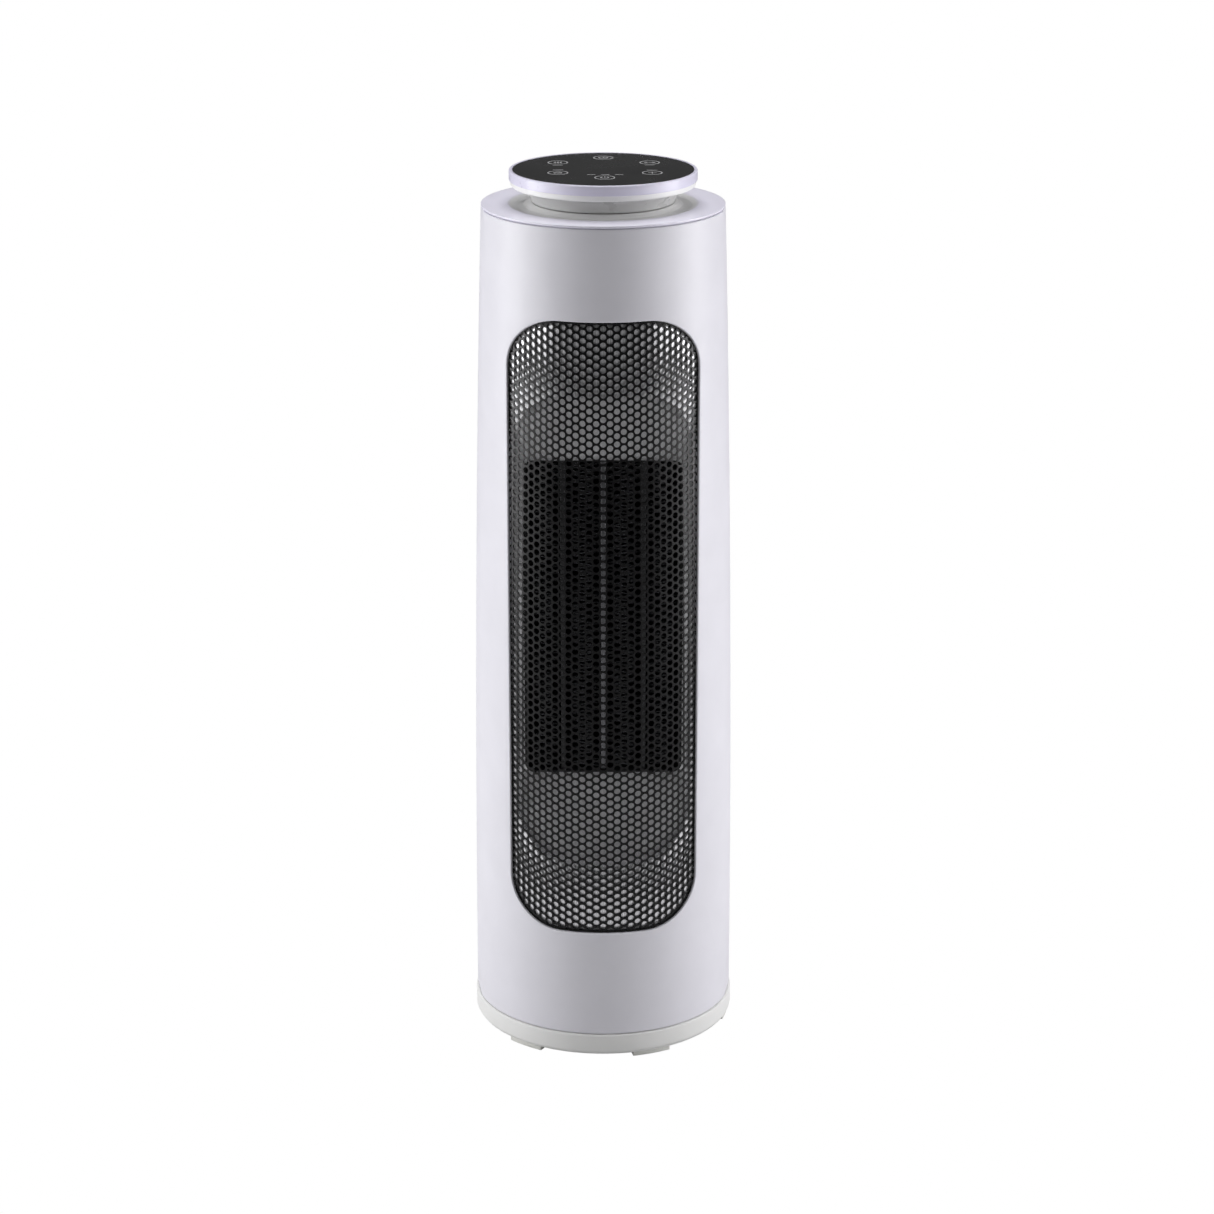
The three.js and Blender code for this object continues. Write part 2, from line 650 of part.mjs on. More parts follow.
// One forward-curved blade as a thin arc between the wheel's inner and outer circles.
function bladeOutline(angle) {
  const inner = WHEEL.radius - 9;
  const outer = WHEEL.radius - 0.6;
  const sweep = 0.2;
  const thickness = 0.9;
  const along = [0, 0.5, 1].map((t) => {
    const radius = inner + (outer - inner) * t;
    return [radius, angle + sweep * t * t];
  });
  const shifted = (offset) => along.map(([r, a]) => [r, a + offset / r]);
  const loop = [...shifted(-thickness / 2), ...shifted(thickness / 2).reverse()];
  return loop.map(([r, a]) => [r * Math.cos(a), WHEEL.y + r * Math.sin(a)]);
}

function crossflowWheel() {
  const { low, high, radius, blades, y } = WHEEL;
  const disc = 1.6;
  const middle = (low + high) / 2;
  const bottom = rod(radius, low, low + disc, 0, y, 24);
  const top = rod(radius, high - disc, high, 0, y, 24);
  const ring = tube(radius - 10, radius, middle - 0.8, middle + 0.8, 0, y, 24);
  const hub = rod(8, low, low + 10, 0, y);
  const pin = rod(BEARING_BORE - GAP, high - 0.5, casingHigh + 5, 0, y);
  const blade = (i) => extruded(bladeOutline((i * 2 * Math.PI) / blades), low + 0.5, high - 0.5);
  const all = Array.from({ length: blades }, (_, i) => blade(i));
  return cut(join(bottom, top, ring, hub, pin, ...all), rod(SHAFT_RADIUS + GAP, 0, low + 8.5, 0, y));
}

const motorShaft = () => rod(SHAFT_RADIUS, MOTOR.low - 6, WHEEL.low + 8, 0, WHEEL.y);
const motorRotor = () =>
  tube(SHAFT_RADIUS + GAP, 15.2, MOTOR.low + 3, MOTOR.high - 6, 0, WHEEL.y, 24);

function motorHousing() {
  const { radius, low, high, wall } = MOTOR;
  const boss = high + 3;
  const profile = [
    [radius - wall, low],
    [radius, low],
    [radius, high - 1.5],
    [radius - 1.5, high],
    [8, high],
    [8, boss],
    [SHAFT_RADIUS + GAP, boss],
    [SHAFT_RADIUS + GAP, high - wall],
    [radius - wall, high - wall],
  ];
  return turned(profile, 24, 0, WHEEL.y);
}

function motorEndCap() {
  const { radius, low } = MOTOR;
  const profile = [
    [SHAFT_RADIUS + GAP, low - 5],
    [7, low - 5],
    [7, low - 2.3],
    [radius, low - 2.3],
    [radius, low - GAP],
    [SHAFT_RADIUS + GAP, low - GAP],
  ];
  return turned(profile, 24, 0, WHEEL.y);
}

// Laminated ring with wound poles: a ring whose bore is notched by six slots.
function motorStator() {
  const { radius, low, high, wall } = MOTOR;
  const ring = tube(16, radius - wall - GAP, low + 4, high - 8, 0, WHEEL.y, 24);
  const slots = Array.from({ length: 6 }, (_, i) => {
    const angle = ((i + 0.5) * Math.PI) / 3;
    const place = [19 * Math.cos(angle), WHEEL.y + 19 * Math.sin(angle)];
    return rod(2.6, low, high, ...place, 8);
  });
  return cut(ring, ...slots);
}

// ---------------------------------------------------------------- electronics
const powerBoard = () =>
  box([-BOARD.half, BOARD.y, BOARD.low], [BOARD.half, BOARD.y + 1.6, BOARD.high]);
const relay = (x) =>
  box([x - RELAY.width / 2, BOARD.y - GAP - RELAY.depth, RELAY.z - RELAY.height / 2],
    [x + RELAY.width / 2, BOARD.y - GAP, RELAY.z + RELAY.height / 2]);

// ---------------------------------------------------------------- rear intake
// Upright slots in two rows, wide enough to breathe and too narrow for a finger.
function intakeCover() {
  const outline = frontPrism(INTAKE, 30, FAR, -GAP);
  const panel = towerSkin(0, 2.1, INTAKE.low - 6, INTAKE.high + 6).intersect(outline);
  const { columns, pitch, width, end, bridge } = SLOTS;
  const middle = (INTAKE.low + INTAKE.high) / 2;
  const rows = [
    [INTAKE.low + end, middle - bridge / 2],
    [middle + bridge / 2, INTAKE.high - end],
  ];
  const slots = rows.flatMap(([low, high]) =>
    Array.from({ length: columns }, (_, i) => {
      const x = (i - (columns - 1) / 2) * pitch;
      return box([x - width / 2, 30, low], [x + width / 2, FAR, high]);
    }),
  );
  return cut(panel, ...slots);
}

function dustFilter() {
  const outline = frontPrism(INTAKE, 30, FAR, -4 - GAP);
  return towerSkin(2.5, 4.2, INTAKE.low - 6, INTAKE.high + 6).intersect(outline);
}

// ---------------------------------------------------------------- main switch
const rocker = { halfLength: 8.9, halfWidth: 6, crown: 5, waist: 3.2, foot: -1 };

function mainSwitchBezel() {
  const { z, width, height, face } = SWITCH;
  const flange = box([-width / 2, 82.6, z - height / 2], [width / 2, face, z + height / 2]);
  const body = box([-7.2, 66, z - 10.7], [7.2, 82.7, z + 10.7]);
  const well = box([-rocker.halfWidth - GAP, 77, z - 9.8], [rocker.halfWidth + GAP, 90, z + 9.8]);
  return cut(join(flange, body), well);
}

// Side outline as [y, z] about the pivot, tilted so that the lower end is pressed in.
function mainSwitchRocker() {
  const { halfLength, halfWidth, crown, waist, foot: bottom } = rocker;
  const outline = [
    [bottom, -halfLength],
    [crown, -halfLength],
    [waist, 0],
    [crown, halfLength],
    [bottom, halfLength],
  ];
  const shape = new THREE.Shape(outline.map(([y, z]) => new THREE.Vector2(y, z)));
  const options = { depth: 2 * halfWidth, bevelEnabled: false };
  const geometry = new THREE.ExtrudeGeometry(shape, options).translate(0, 0, -halfWidth);
  const upright = new THREE.Matrix4().set(0, 0, 1, 0, 1, 0, 0, 0, 0, 1, 0, 0, 0, 0, 0, 1);
  geometry.applyMatrix4(upright);
  return solidOf(geometry.rotateX(-THREE.MathUtils.degToRad(SWITCH.tilt)));
}

// ---------------------------------------------------------------- top
function topCap() {
  return turned([
    [72, 541],
    [74, 541],
    [74, TOWER_TOP + GAP],
    [CAP_RADIUS, TOWER_TOP + GAP],
    [CAP_RADIUS, CAP_TOP - 0.6],
    [CAP_RADIUS - 0.7, CAP_TOP],
    [59.8, CAP_TOP],
    [56, CAP_TOP - 1.2],
    [50, CAP_TOP - 0.9],
    [NECK_RADIUS + 0.3, CAP_TOP + 1],
    [38, CAP_TOP + 1],
    [38, CAP_TOP - 1.2],
    [46, CAP_TOP - 2],
    [52, CAP_TOP - 3.2],
    [72, CAP_TOP - 2.4],
  ]);
}

function panelNeck() {
  const low = CAP_TOP + 1 + GAP;
  const high = PANEL_BOTTOM - GAP;
  return turned([
    [35.4, 543],
    [37.4, 543],
    [37.4, low],
    [NECK_RADIUS, low],
    [46, 555.2],
    [48.4, 559],
    [53.4, high],
    [49, high],
    [45, 559],
    [43.2, 554.2],
    [35.4, 554.2],
  ]);
}

function panelHousing() {
  return turned([
    [10, PANEL_BOTTOM],
    [57.2, PANEL_BOTTOM],
    [58, PANEL_BOTTOM + 0.8],
    [58, 565.4],
    [PANEL_RADIUS, 566],
    [PANEL_RADIUS, 571.2],
    [58.5, 572],
    [GLASS_RADIUS + GAP, 572],
    [GLASS_RADIUS + GAP, 569.6],
    [55, 569.6],
    [55, 565.5],
    [10, 565.5],
  ]);
}

const touchGlass = () =>
  turned([
    [0, 569.9],
    [GLASS_RADIUS, 569.9],
    [GLASS_RADIUS, TOTAL_HEIGHT - 0.3],
    [GLASS_RADIUS - 0.3, TOTAL_HEIGHT],
    [0, TOTAL_HEIGHT],
  ]);
const touchBoard = () => rod(53, 567, 568.6, 0, 0, 24);

// ---------------------------------------------------------------- assembly
const heater = new THREE.Group();

const place = (parent, name, solid, look) => {
  const mesh = new THREE.Mesh(geometryOf(solid), look);
  mesh.name = name;
  parent.add(mesh);
  return mesh;
};

const base = new THREE.Group();
place(base, "base_housing", baseHousing(), IVORY);
place(base, "base_bottom_cover", baseBottomCover(), IVORY);
footAngles.forEach((angle, i) => place(base, `foot_${i + 1}`, foot(angle), IVORY));
baseScrewPlaces.forEach((at, i) => place(base, `base_screw_${i + 1}`, baseScrew(at), STEEL));
place(base, "cord_inlet_grommet", cordInletGrommet(), IVORY);
place(base, "tip_switch", tipSwitch(), RELAY_BLACK);
place(base, "tip_switch_plunger", tipSwitchPlunger(), WHITE_NYLON);
place(base, "oscillation_fixed_gear", oscillationFixedGear(), WHITE_NYLON);
place(base, "slide_ring", slideRing(), WHITE_NYLON);
place(base, "turntable_retaining_ring", turntableRetainingRing(), WHITE_NYLON);

const tower = new THREE.Group();
place(tower, "turntable_plate", turntablePlate(), GREY_PLASTIC);
place(tower, "front_shell", frontShell(), SHELL_WHITE);
place(tower, "rear_shell", rearShell(), SHELL_WHITE);
bossPlaces.forEach((at, i) => place(tower, `shell_screw_${i + 1}`, shellScrew(at), STEEL));
place(tower, "front_grille", frontGrille(), BLACK_GRILLE);
place(tower, "outlet_duct_liner", outletDuctLiner(), SILVER_LINER);
place(tower, "intake_cover", intakeCover(), SHELL_WHITE);
place(tower, "dust_filter", dustFilter(), FILTER_GREY);

const warmBlock = new THREE.Group();
place(warmBlock, "heater_frame", heaterFrame(), BLACK_FRAME);
["left", "centre", "right"].forEach((side, i) => {
  place(warmBlock, `ptc_bar_${side}`, ptcBar((i - 1) * BAR_SPACING), ALUMINIUM);
});
finSpans.forEach(([left, right], i) => {
  place(warmBlock, `heater_fins_${i + 1}`, heaterFins(left, right), DARK_FINS);
});
place(warmBlock, "thermal_cutoff", thermalCutoff(), ALUMINIUM);

const blower = new THREE.Group();
place(blower, "blower_scroll", blowerScroll(), GREY_PLASTIC);
place(blower, "blower_tongue", blowerTongue(), GREY_PLASTIC);
place(blower, "blower_bottom_plate", blowerBottomPlate(), GREY_PLASTIC);
place(blower, "blower_top_plate", blowerTopPlate(), GREY_PLASTIC);
place(blower, "upper_bearing", upperBearing(), WHITE_NYLON);
place(blower, "crossflow_wheel", crossflowWheel(), GREY_PLASTIC);
place(blower, "motor_shaft", motorShaft(), STEEL);
place(blower, "motor_rotor", motorRotor(), STEEL);
place(blower, "motor_housing", motorHousing(), ALUMINIUM);
place(blower, "motor_end_cap", motorEndCap(), ALUMINIUM);
place(blower, "motor_stator", motorStator(), STEEL);

const controls = new THREE.Group();
place(controls, "power_board", powerBoard(), BOARD_GREEN);
place(controls, "heater_relay_1", relay(-RELAY.x), RELAY_BLACK);
place(controls, "heater_relay_2", relay(RELAY.x), RELAY_BLACK);
place(controls, "oscillation_motor", oscillationMotor(), STEEL);
place(controls, "oscillation_pinion", oscillationPinion(), WHITE_NYLON);
place(controls, "main_switch_bezel", mainSwitchBezel(), RELAY_BLACK);
const rockerMesh = place(controls, "main_switch_rocker", mainSwitchRocker(), RELAY_BLACK);
rockerMesh.position.set(0, SWITCH.pivot, SWITCH.z);

const head = new THREE.Group();
place(head, "top_cap", topCap(), SHELL_WHITE);
place(head, "panel_neck", panelNeck(), IVORY);
place(head, "panel_housing", panelHousing(), SHELL_WHITE);
place(head, "touch_glass", touchGlass(), GLASS_BLACK);
place(head, "touch_board", touchBoard(), BOARD_GREEN);

tower.add(warmBlock, blower, controls, head);
heater.add(base, tower);

export default heater;
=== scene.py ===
"""Looks of the ceramic tower heater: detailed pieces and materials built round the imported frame.

Profiles and sizes are in millimetres in the frame's own axes, and are turned into metres when a
mesh is made. The heater's outlet faces -Y.
"""

import json
import math

import bmesh
import bpy
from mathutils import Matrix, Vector


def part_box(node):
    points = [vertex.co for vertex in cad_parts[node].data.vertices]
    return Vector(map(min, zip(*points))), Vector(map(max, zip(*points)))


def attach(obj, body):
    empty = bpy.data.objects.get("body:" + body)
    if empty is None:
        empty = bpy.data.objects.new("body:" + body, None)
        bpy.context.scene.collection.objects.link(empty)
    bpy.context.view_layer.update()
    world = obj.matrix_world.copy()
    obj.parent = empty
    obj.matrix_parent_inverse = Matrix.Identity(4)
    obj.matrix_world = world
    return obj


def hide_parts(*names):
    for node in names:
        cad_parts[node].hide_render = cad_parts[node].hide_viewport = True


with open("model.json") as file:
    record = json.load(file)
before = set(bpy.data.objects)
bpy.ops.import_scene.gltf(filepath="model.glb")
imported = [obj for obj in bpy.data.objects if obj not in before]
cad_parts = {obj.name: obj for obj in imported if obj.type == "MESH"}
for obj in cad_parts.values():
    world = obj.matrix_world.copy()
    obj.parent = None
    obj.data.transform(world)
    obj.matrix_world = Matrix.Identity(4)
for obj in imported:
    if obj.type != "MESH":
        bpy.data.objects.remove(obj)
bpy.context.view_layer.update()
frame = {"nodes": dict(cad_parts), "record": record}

MM = 0.001
ROUND = 160  # facets round a full turn of a visible piece

# ------------ driving sizes, in mm
TOWER_BOTTOM, TOWER_TOP = 17.4, 548.8
TOWER_RADIUS = 85.0
BELLY_RADIUS = 17600.0  # of the side's slight curve from foot to top
WALL = 2.4
GAP = 0.3
SEAM = 0.15  # from each half of the shell to the plane between them
EDGE_ROUND, EDGE_STEPS = 0.7, 5  # of the shell's edges

# rounded rectangles about the middle plane
OPENING = dict(half=60.2, low=88.6, high=491.4, corner=32.5)  # of the front shell
INTAKE = dict(half=42.0, low=190.0, high=450.0, corner=14.0)  # of the rear shell
POCKET = dict(half=54.5, low=134.0, high=443.0, corner=32.0)  # mouth of the duct's funnel
WINDOW = dict(half=50.5, low=188.0, high=397.0, corner=6.0)  # its end at the heater

# recesses and depths count from the tower's surface
RIM_WIDTH = 1.2
RIM_RECESS = 1.3
SHEET_RECESS = 1.8
SHEET_THICKNESS = 0.9
LINER_EDGE = 2.9
LINER_FACE = 5.4
LINER_BACK = -51.4  # y of the funnel's end
LINER_WALL = 1.2
STEP_INWARDS, STEP_SHARE = 1.0, 0.4  # steep first part of the funnel's wall
HOLE_PITCH = 5.19
HOLE_RADIUS = 2.06
GRID_RADIUS = 82.0  # cylinder that the hole pattern is laid out on
GRID_COLUMNS, GRID_ROWS = 17, 42  # each way from the middle, past the opening's edge
SHEET_MARGIN = 0.35  # from the opening's edge in to the sheet's

BASE_RADIUS = 85.8
CAP_RADIUS = 76.9
NECK_RADIUS = 45.1
PANEL_RADIUS = 59.2
GLASS_RADIUS = 56.8

FOOT = dict(outer=84.0, inner=72.0, high=3.1, half_turn=math.radians(9))
SLOT_PITCH, SLOT_WIDTH = 7.6, 4.4  # upright slots of the intake panel
SWITCH_WELL = dict(half=6.3, reach=9.8, floor=77.0)
KEY = dict(pivot=79.5, half=6.0, reach=8.9, dip=3.2, horn=5.0, tilt=math.radians(-8))
CROSS_REACH, CROSS_HALF = 1.9, 0.35  # recess in a screw's head
INLET = dict(height=8.2, radius=5.3, inner_end=74.0)  # hole for the cord
WELL = dict(hole=1.9, inner=3.8, outer=5.2, seat=12.2)  # for the shell's screws
CLEAR = (30.0, 110.0)  # y range of a cutter that passes right through the rear wall

INK_LOW, INK_TOP = 572.0, 572.09  # the printed symbols' layer on the glass
INK_LINE = 0.75
SYMBOL_RING = 6.1

# camera and lights, placed in metres
LENS, SENSOR = 96.38, 36
CAMERA_PLACE = (0.0024, -2.0198, 0.9406)
CAMERA_PITCH = math.radians(71.98)
LIGHT_TARGET = (0, 0, 0.3)


# ------------ node helpers
def new_material(name, **settings):
    """A Principled material with its constants set on the shader's own sockets."""
    material = bpy.data.materials.new(name)
    material.use_nodes = True
    shader = material.node_tree.nodes["Principled BSDF"]
    for socket, value in settings.items():
        shader.inputs[socket.replace("_", " ")].default_value = value
    return material, material.node_tree, shader


def object_coordinates(tree, scale=(1, 1, 1)):
    coordinates = tree.nodes.new("ShaderNodeTexCoord")
    mapping = tree.nodes.new("ShaderNodeMapping")
    mapping.inputs["Scale"].default_value = scale
    tree.links.new(coordinates.outputs["Object"], mapping.inputs["Vector"])
    return mapping.outputs["Vector"]


def noise(tree, vector, scale, detail=3.0, roughness=0.5):
    node = tree.nodes.new("ShaderNodeTexNoise")
    node.inputs["Scale"].default_value = scale
    node.inputs["Detail"].default_value = detail
    node.inputs["Roughness"].default_value = roughness
    tree.links.new(vector, node.inputs["Vector"])
    return node.outputs["Fac"]


def ramp(tree, value, low, high, start=0.3, end=0.7):
    """Maps a 0..1 value onto colours or greys between low and high."""
    node = tree.nodes.new("ShaderNodeValToRGB")
    for element, place, shade in zip(node.color_ramp.elements, (start, end), (low, high)):
        element.position = place
        element.color = shade if len(shade) == 4 else (*shade, 1)
    tree.links.new(value, node.inputs["Fac"])
    return node.outputs["Color"]


def bump(tree, shader, height, distance, strength=1.0):
    node = tree.nodes.new("ShaderNodeBump")
    node.inputs["Distance"].default_value = distance
    node.inputs["Strength"].default_value = strength
    tree.links.new(height, node.inputs["Height"])
    tree.links.new(node.outputs["Normal"], shader.inputs["Normal"])


def drive(tree, shader, **outputs):
    """Links each output to the shader's socket of that name."""
    for socket, output in outputs.items():
        tree.links.new(output, shader.inputs[socket.replace("_", " ")])


def grey(value):
    return (value, value, value, 1)


def moulded(name, color, rough=0.35, spread=0.05, grain=0.00002, **settings):
    """Moulded plastic: faint mottling, uneven gloss and a fine grain."""
    material, tree, shader = new_material(name, **settings)
    vector = object_coordinates(tree)
    darker = tuple(c * 0.965 for c in color)
    mottle = noise(tree, vector, scale=38, detail=4)
    gloss = noise(tree, vector, scale=90, detail=5, roughness=0.6)
    drive(tree, shader, Base_Color=ramp(tree, mottle, darker, color),
          Roughness=ramp(tree, gloss, grey(rough - spread), grey(rough + spread)))
    bump(tree, shader, noise(tree, vector, scale=1900, detail=2), grain, strength=0.6)
    return material


def metal(name, color, rough=0.3, streak=(1, 1, 60), metallic=1.0):
    """Drawn or brushed metal with streaks across one axis."""
    material, tree, shader = new_material(name, Metallic=metallic)
    vector = object_coordinates(tree, streak)
    streaks = noise(tree, vector, scale=60, detail=6, roughness=0.65)
    darker = tuple(c * 0.86 for c in color)
    drive(tree, shader, Base_Color=ramp(tree, streaks, darker, color),
          Roughness=ramp(tree, streaks, grey(rough + 0.1), grey(rough - 0.06)))
    bump(tree, shader, streaks, 0.00003, strength=0.5)
    return material


def foam(name, color):
    """Open-cell filter foam."""
    material, tree, shader = new_material(name, Roughness=0.95)
    vector = object_coordinates(tree)
    cells = tree.nodes.new("ShaderNodeTexVoronoi")
    cells.inputs["Scale"].default_value = 620
    tree.links.new(vector, cells.inputs["Vector"])
    dark = tuple(c * 0.25 for c in color)
    drive(tree, shader,
          Base_Color=ramp(tree, cells.outputs["Distance"], color, dark, start=0.25, end=0.6))
    bump(tree, shader, cells.outputs["Distance"], 0.0004)
    return material


def circuit(name):
    """Solder mask with faint copper runs below it."""
    material, tree, shader = new_material(name, Roughness=0.42)
    vector = object_coordinates(tree, (1, 0.1, 1))
    runs = tree.nodes.new("ShaderNodeTexBrick")
    runs.inputs["Scale"].default_value = 90
    runs.inputs["Mortar Size"].default_value = 0.06
    runs.inputs["Color1"].default_value = (0.014, 0.10, 0.04, 1)
    runs.inputs["Color2"].default_value = (0.012, 0.085, 0.035, 1)
    runs.inputs["Mortar"].default_value = (0.05, 0.2, 0.08, 1)
    tree.links.new(vector, runs.inputs["Vector"])
    drive(tree, shader, Base_Color=runs.outputs["Color"])
    bump(tree, shader, noise(tree, vector, scale=700), 0.00005)
    return material


def printed(name, color):
    """Screen-printed ink, slightly uneven."""
    material, tree, shader = new_material(name, Roughness=0.4)
    ink = noise(tree, object_coordinates(tree), scale=900)
    thin = tuple(c * 0.8 for c in color)
    drive(tree, shader, Base_Color=ramp(tree, ink, thin, color))
    return material


def glass_black(name):
    """Black back-printed panel under a polished face, with faint handling haze."""
    material, tree, shader = new_material(name, Specular_IOR_Level=0.22, IOR=1.45)
    haze = noise(tree, object_coordinates(tree), scale=24, detail=5, roughness=0.6)
    drive(tree, shader, Base_Color=ramp(tree, haze, grey(0.03), grey(0.037)),
          Roughness=ramp(tree, haze, grey(0.2), grey(0.3)))
    return material


def radial_blend(tree, inner, outer):
    """A smooth 0..1 step over the distance in metres from the tower's axis."""
    length = tree.nodes.new("ShaderNodeVectorMath")
    length.operation = "LENGTH"
    tree.links.new(object_coordinates(tree, (1, 1, 0)), length.inputs[0])
    blend = tree.nodes.new("ShaderNodeMapRange")
    blend.inputs["From Min"].default_value = inner
    blend.inputs["From Max"].default_value = outer
    blend.interpolation_type = "SMOOTHSTEP"
    tree.links.new(length.outputs["Value"], blend.inputs["Value"])
    return blend.outputs["Result"]


def dished_cap(name, dish, ring):
    """Moulded plastic that turns from the warm dish to the cool outer ring at a soft edge."""
    material = moulded(name, ring, 0.33, Coat_Weight=0.2, Coat_Roughness=0.2)
    tree = material.node_tree
    edge = radial_blend(tree, inner=0.058, outer=0.0608)
    drive(tree, tree.nodes["Principled BSDF"],
          Base_Color=ramp(tree, edge, dish, ring, start=0, end=1))
    return material


def duct_sheet(name, color, rough, satin, polished):
    """Bright sheet metal, satin down the funnel and polished in the tray behind the grille."""
    material = metal(name, color, rough, (30, 30, 1))
    tree = material.node_tree
    edge = radial_blend(tree, inner=0.072, outer=0.079)
    drive(tree, tree.nodes["Principled BSDF"],
          Metallic=ramp(tree, edge, grey(satin), grey(polished), start=0, end=1))
    return material


MATERIALS = {
    "shell_white": moulded("shell_white", (0.82, 0.81, 0.868), 0.42, Coat_Weight=0.08,
                           Coat_Roughness=0.3),
    "cap_white": moulded("cap_white", (0.78, 0.755, 0.90), 0.3, Coat_Weight=0.2,
                         Coat_Roughness=0.2),
    "cap_dished": dished_cap("cap_dished", (0.85, 0.85, 0.84), (0.86, 0.84, 0.95)),
    "ivory": moulded("ivory", (0.88, 0.88, 0.865), 0.4),
    # the neck is ivory like the dish; this darker grey copy is painted shade for the disc's shadow
    # over it
    "neck_painted_shade": moulded("neck_painted_shade", (0.62, 0.62, 0.615), 0.3),
    "foot_ivory": moulded("foot_ivory", (0.74, 0.74, 0.70), 0.65, grain=0.00005),
    "grille_black": moulded("grille_black", (0.003, 0.003, 0.0035), 0.28, 0.06,
                            Specular_IOR_Level=0.3),
    "liner_silver": duct_sheet("liner_silver", (0.97, 0.965, 0.99), 0.24, 0.2, 0.68),
    "black_moulding": moulded("black_moulding", (0.014, 0.014, 0.016), 0.5, grain=0.00005),
    "fins_dark": metal("fins_dark", (0.06, 0.06, 0.066), 0.42, (1, 40, 1), 0.8),
    "aluminium": metal("aluminium", (0.34, 0.34, 0.36), 0.4),
    # the outer heater bars are the same aluminium as the middle one; this darker copy is painted
    # shade
    "dull_bar": metal("dull_bar", (0.12, 0.12, 0.125), 0.5),
    "steel": metal("steel", (0.5, 0.51, 0.53), 0.3),
    "nylon": moulded("nylon", (0.78, 0.76, 0.70), 0.5),
    "grey_moulding": moulded("grey_moulding", (0.11, 0.12, 0.13), 0.5),
    "filter_grey": foam("filter_grey", (0.07, 0.075, 0.08)),
    "circuit_board": circuit("circuit_board"),
    "glass_black": glass_black("glass_black"),
    "icon_ink": printed("icon_ink", (0.5, 0.5, 0.51)),
    "mark_white": printed("mark_white", (0.75, 0.75, 0.75)),
}


# ------------ mesh helpers
def linked(name, data):
    """A new object in the scene for a mesh, a light or a camera."""
    thing = bpy.data.objects.new(name, data)
    bpy.context.scene.collection.objects.link(thing)
    return thing


def make_object(name, vertices, faces, look, sharp_angle=35):
    """A smooth-shaded object from millimetre points, with edges sharp past an angle."""
    mesh = bpy.data.meshes.new(name)
    mesh.from_pydata([(x * MM, y * MM, z * MM) for x, y, z in vertices], [], faces)
    mesh.validate()
    welded = bmesh.new()
    welded.from_mesh(mesh)
    bmesh.ops.remove_doubles(welded, verts=welded.verts, dist=1e-6)
    bmesh.ops.recalc_face_normals(welded, faces=welded.faces)
    welded.to_mesh(mesh)
    welded.free()
    piece = linked(name, mesh)
    mesh.materials.append(MATERIALS[look])
    mesh.shade_smooth()
    mesh.set_sharp_from_angle(angle=math.radians(sharp_angle))
    return piece


def filleted(points, radius, steps=4, closed=True):
    """A plan or profile outline with its corners rounded. radius is one number or one each."""
    radii = radius if isinstance(radius, (list, tuple)) else [radius] * len(points)
    count = len(points)
    result = []
    for i, ((x, y), r) in enumerate(zip(points, radii)):
        if r <= 0 or (not closed and i in (0, count - 1)):
            result.append((x, y))
            continue
        (ax, ay), (bx, by) = points[i - 1], points[(i + 1) % count]
        in_length = math.hypot(ax - x, ay - y)
        out_length = math.hypot(bx - x, by - y)
        ux, uy = (ax - x) / in_length, (ay - y) / in_length
        vx, vy = (bx - x) / out_length, (by - y) / out_length
        half = math.acos(max(-1, min(1, ux * vx + uy * vy))) / 2
        if abs(half - math.pi / 2) < 0.02:
            result.append((x, y))
            continue
        reach = min(r / math.tan(half), 0.49 * in_length, 0.49 * out_length)
        for step in range(steps + 1):
            t = step / steps
            # quadratic curve between the two tangent points
            px = (1 - t) ** 2 * (x + ux * reach) + 2 * t * (1 - t) * x + t * t * (x + vx * reach)
            py = (1 - t) ** 2 * (y + uy * reach) + 2 * t * (1 - t) * y + t * t * (y + vy * reach)
            result.append((px, py))
    return result


def lathed(name, profile, look, radius=0.4, at=(0, 0), along="Z", facets=ROUND, closed=True):
    """A solid turned from a profile of (radius, height), with its edges rounded."""
    outline = filleted(profile, radius, closed=closed)
    vertices, faces = [], []
    count = len(outline)
    for i in range(facets):
        angle = 2 * math.pi * i / facets
        for r, h in outline:
            a, b = r * math.cos(angle), r * math.sin(angle)
            vertices.append(
                (at[0] + a, at[1] + b, h) if along == "Z" else (at[0] + a, h, at[1] - b)
            )
    spans = count if closed else count - 1
    for i in range(facets):
        j = (i + 1) % facets
        for k in range(spans):
            n = (k + 1) % count
            faces.append((i * count + k, j * count + k, j * count + n, i * count + n))
    return make_object(name, vertices, faces, look)


def box_mm(name, low, high, look, bevel=0.4):
    """A box between two corners with rounded edges."""
    xs, ys, zs = zip(low, high)
    vertices = [(x, y, z) for x in xs for y in ys for z in zs]
    faces = [(0, 1, 3, 2), (4, 6, 7, 5), (0, 4, 5, 1), (2, 3, 7, 6), (0, 2, 6, 4), (1, 5, 7, 3)]
    piece = make_object(name, vertices, faces, look)
    return bevelled(piece, bevel) if bevel else piece


def bevelled(piece, width, segments=3, angle=40):
    modifier = piece.modifiers.new("bevel", "BEVEL")
    modifier.width = width * MM
    modifier.segments = segments
    modifier.angle_limit = math.radians(angle)
    apply_modifiers(piece)
    piece.data.shade_smooth()
    piece.data.set_sharp_from_angle(angle=math.radians(40))
    return piece


def apply_modifiers(piece):
    graph = bpy.context.evaluated_depsgraph_get()
    mesh = bpy.data.meshes.new_from_object(piece.evaluated_get(graph))
    piece.modifiers.clear()
    piece.data = mesh


def thickened(piece, thickness, offset):
    """Gives a sheet its thickness: behind its faces at offset -1, to both sides at 0."""
    modifier = piece.modifiers.new("wall", "SOLIDIFY")
    modifier.thickness = thickness * MM
    modifier.offset = offset
    apply_modifiers(piece)
    return piece


def combine(piece, operation, others):
    """Applies a boolean of the piece with each of the others, and removes them."""
    for other in others:
        modifier = piece.modifiers.new("boolean", "BOOLEAN")
        modifier.operation = operation
        modifier.solver = "EXACT"
        modifier.object = other
    apply_modifiers(piece)
    for other in others:
        bpy.data.objects.remove(other)


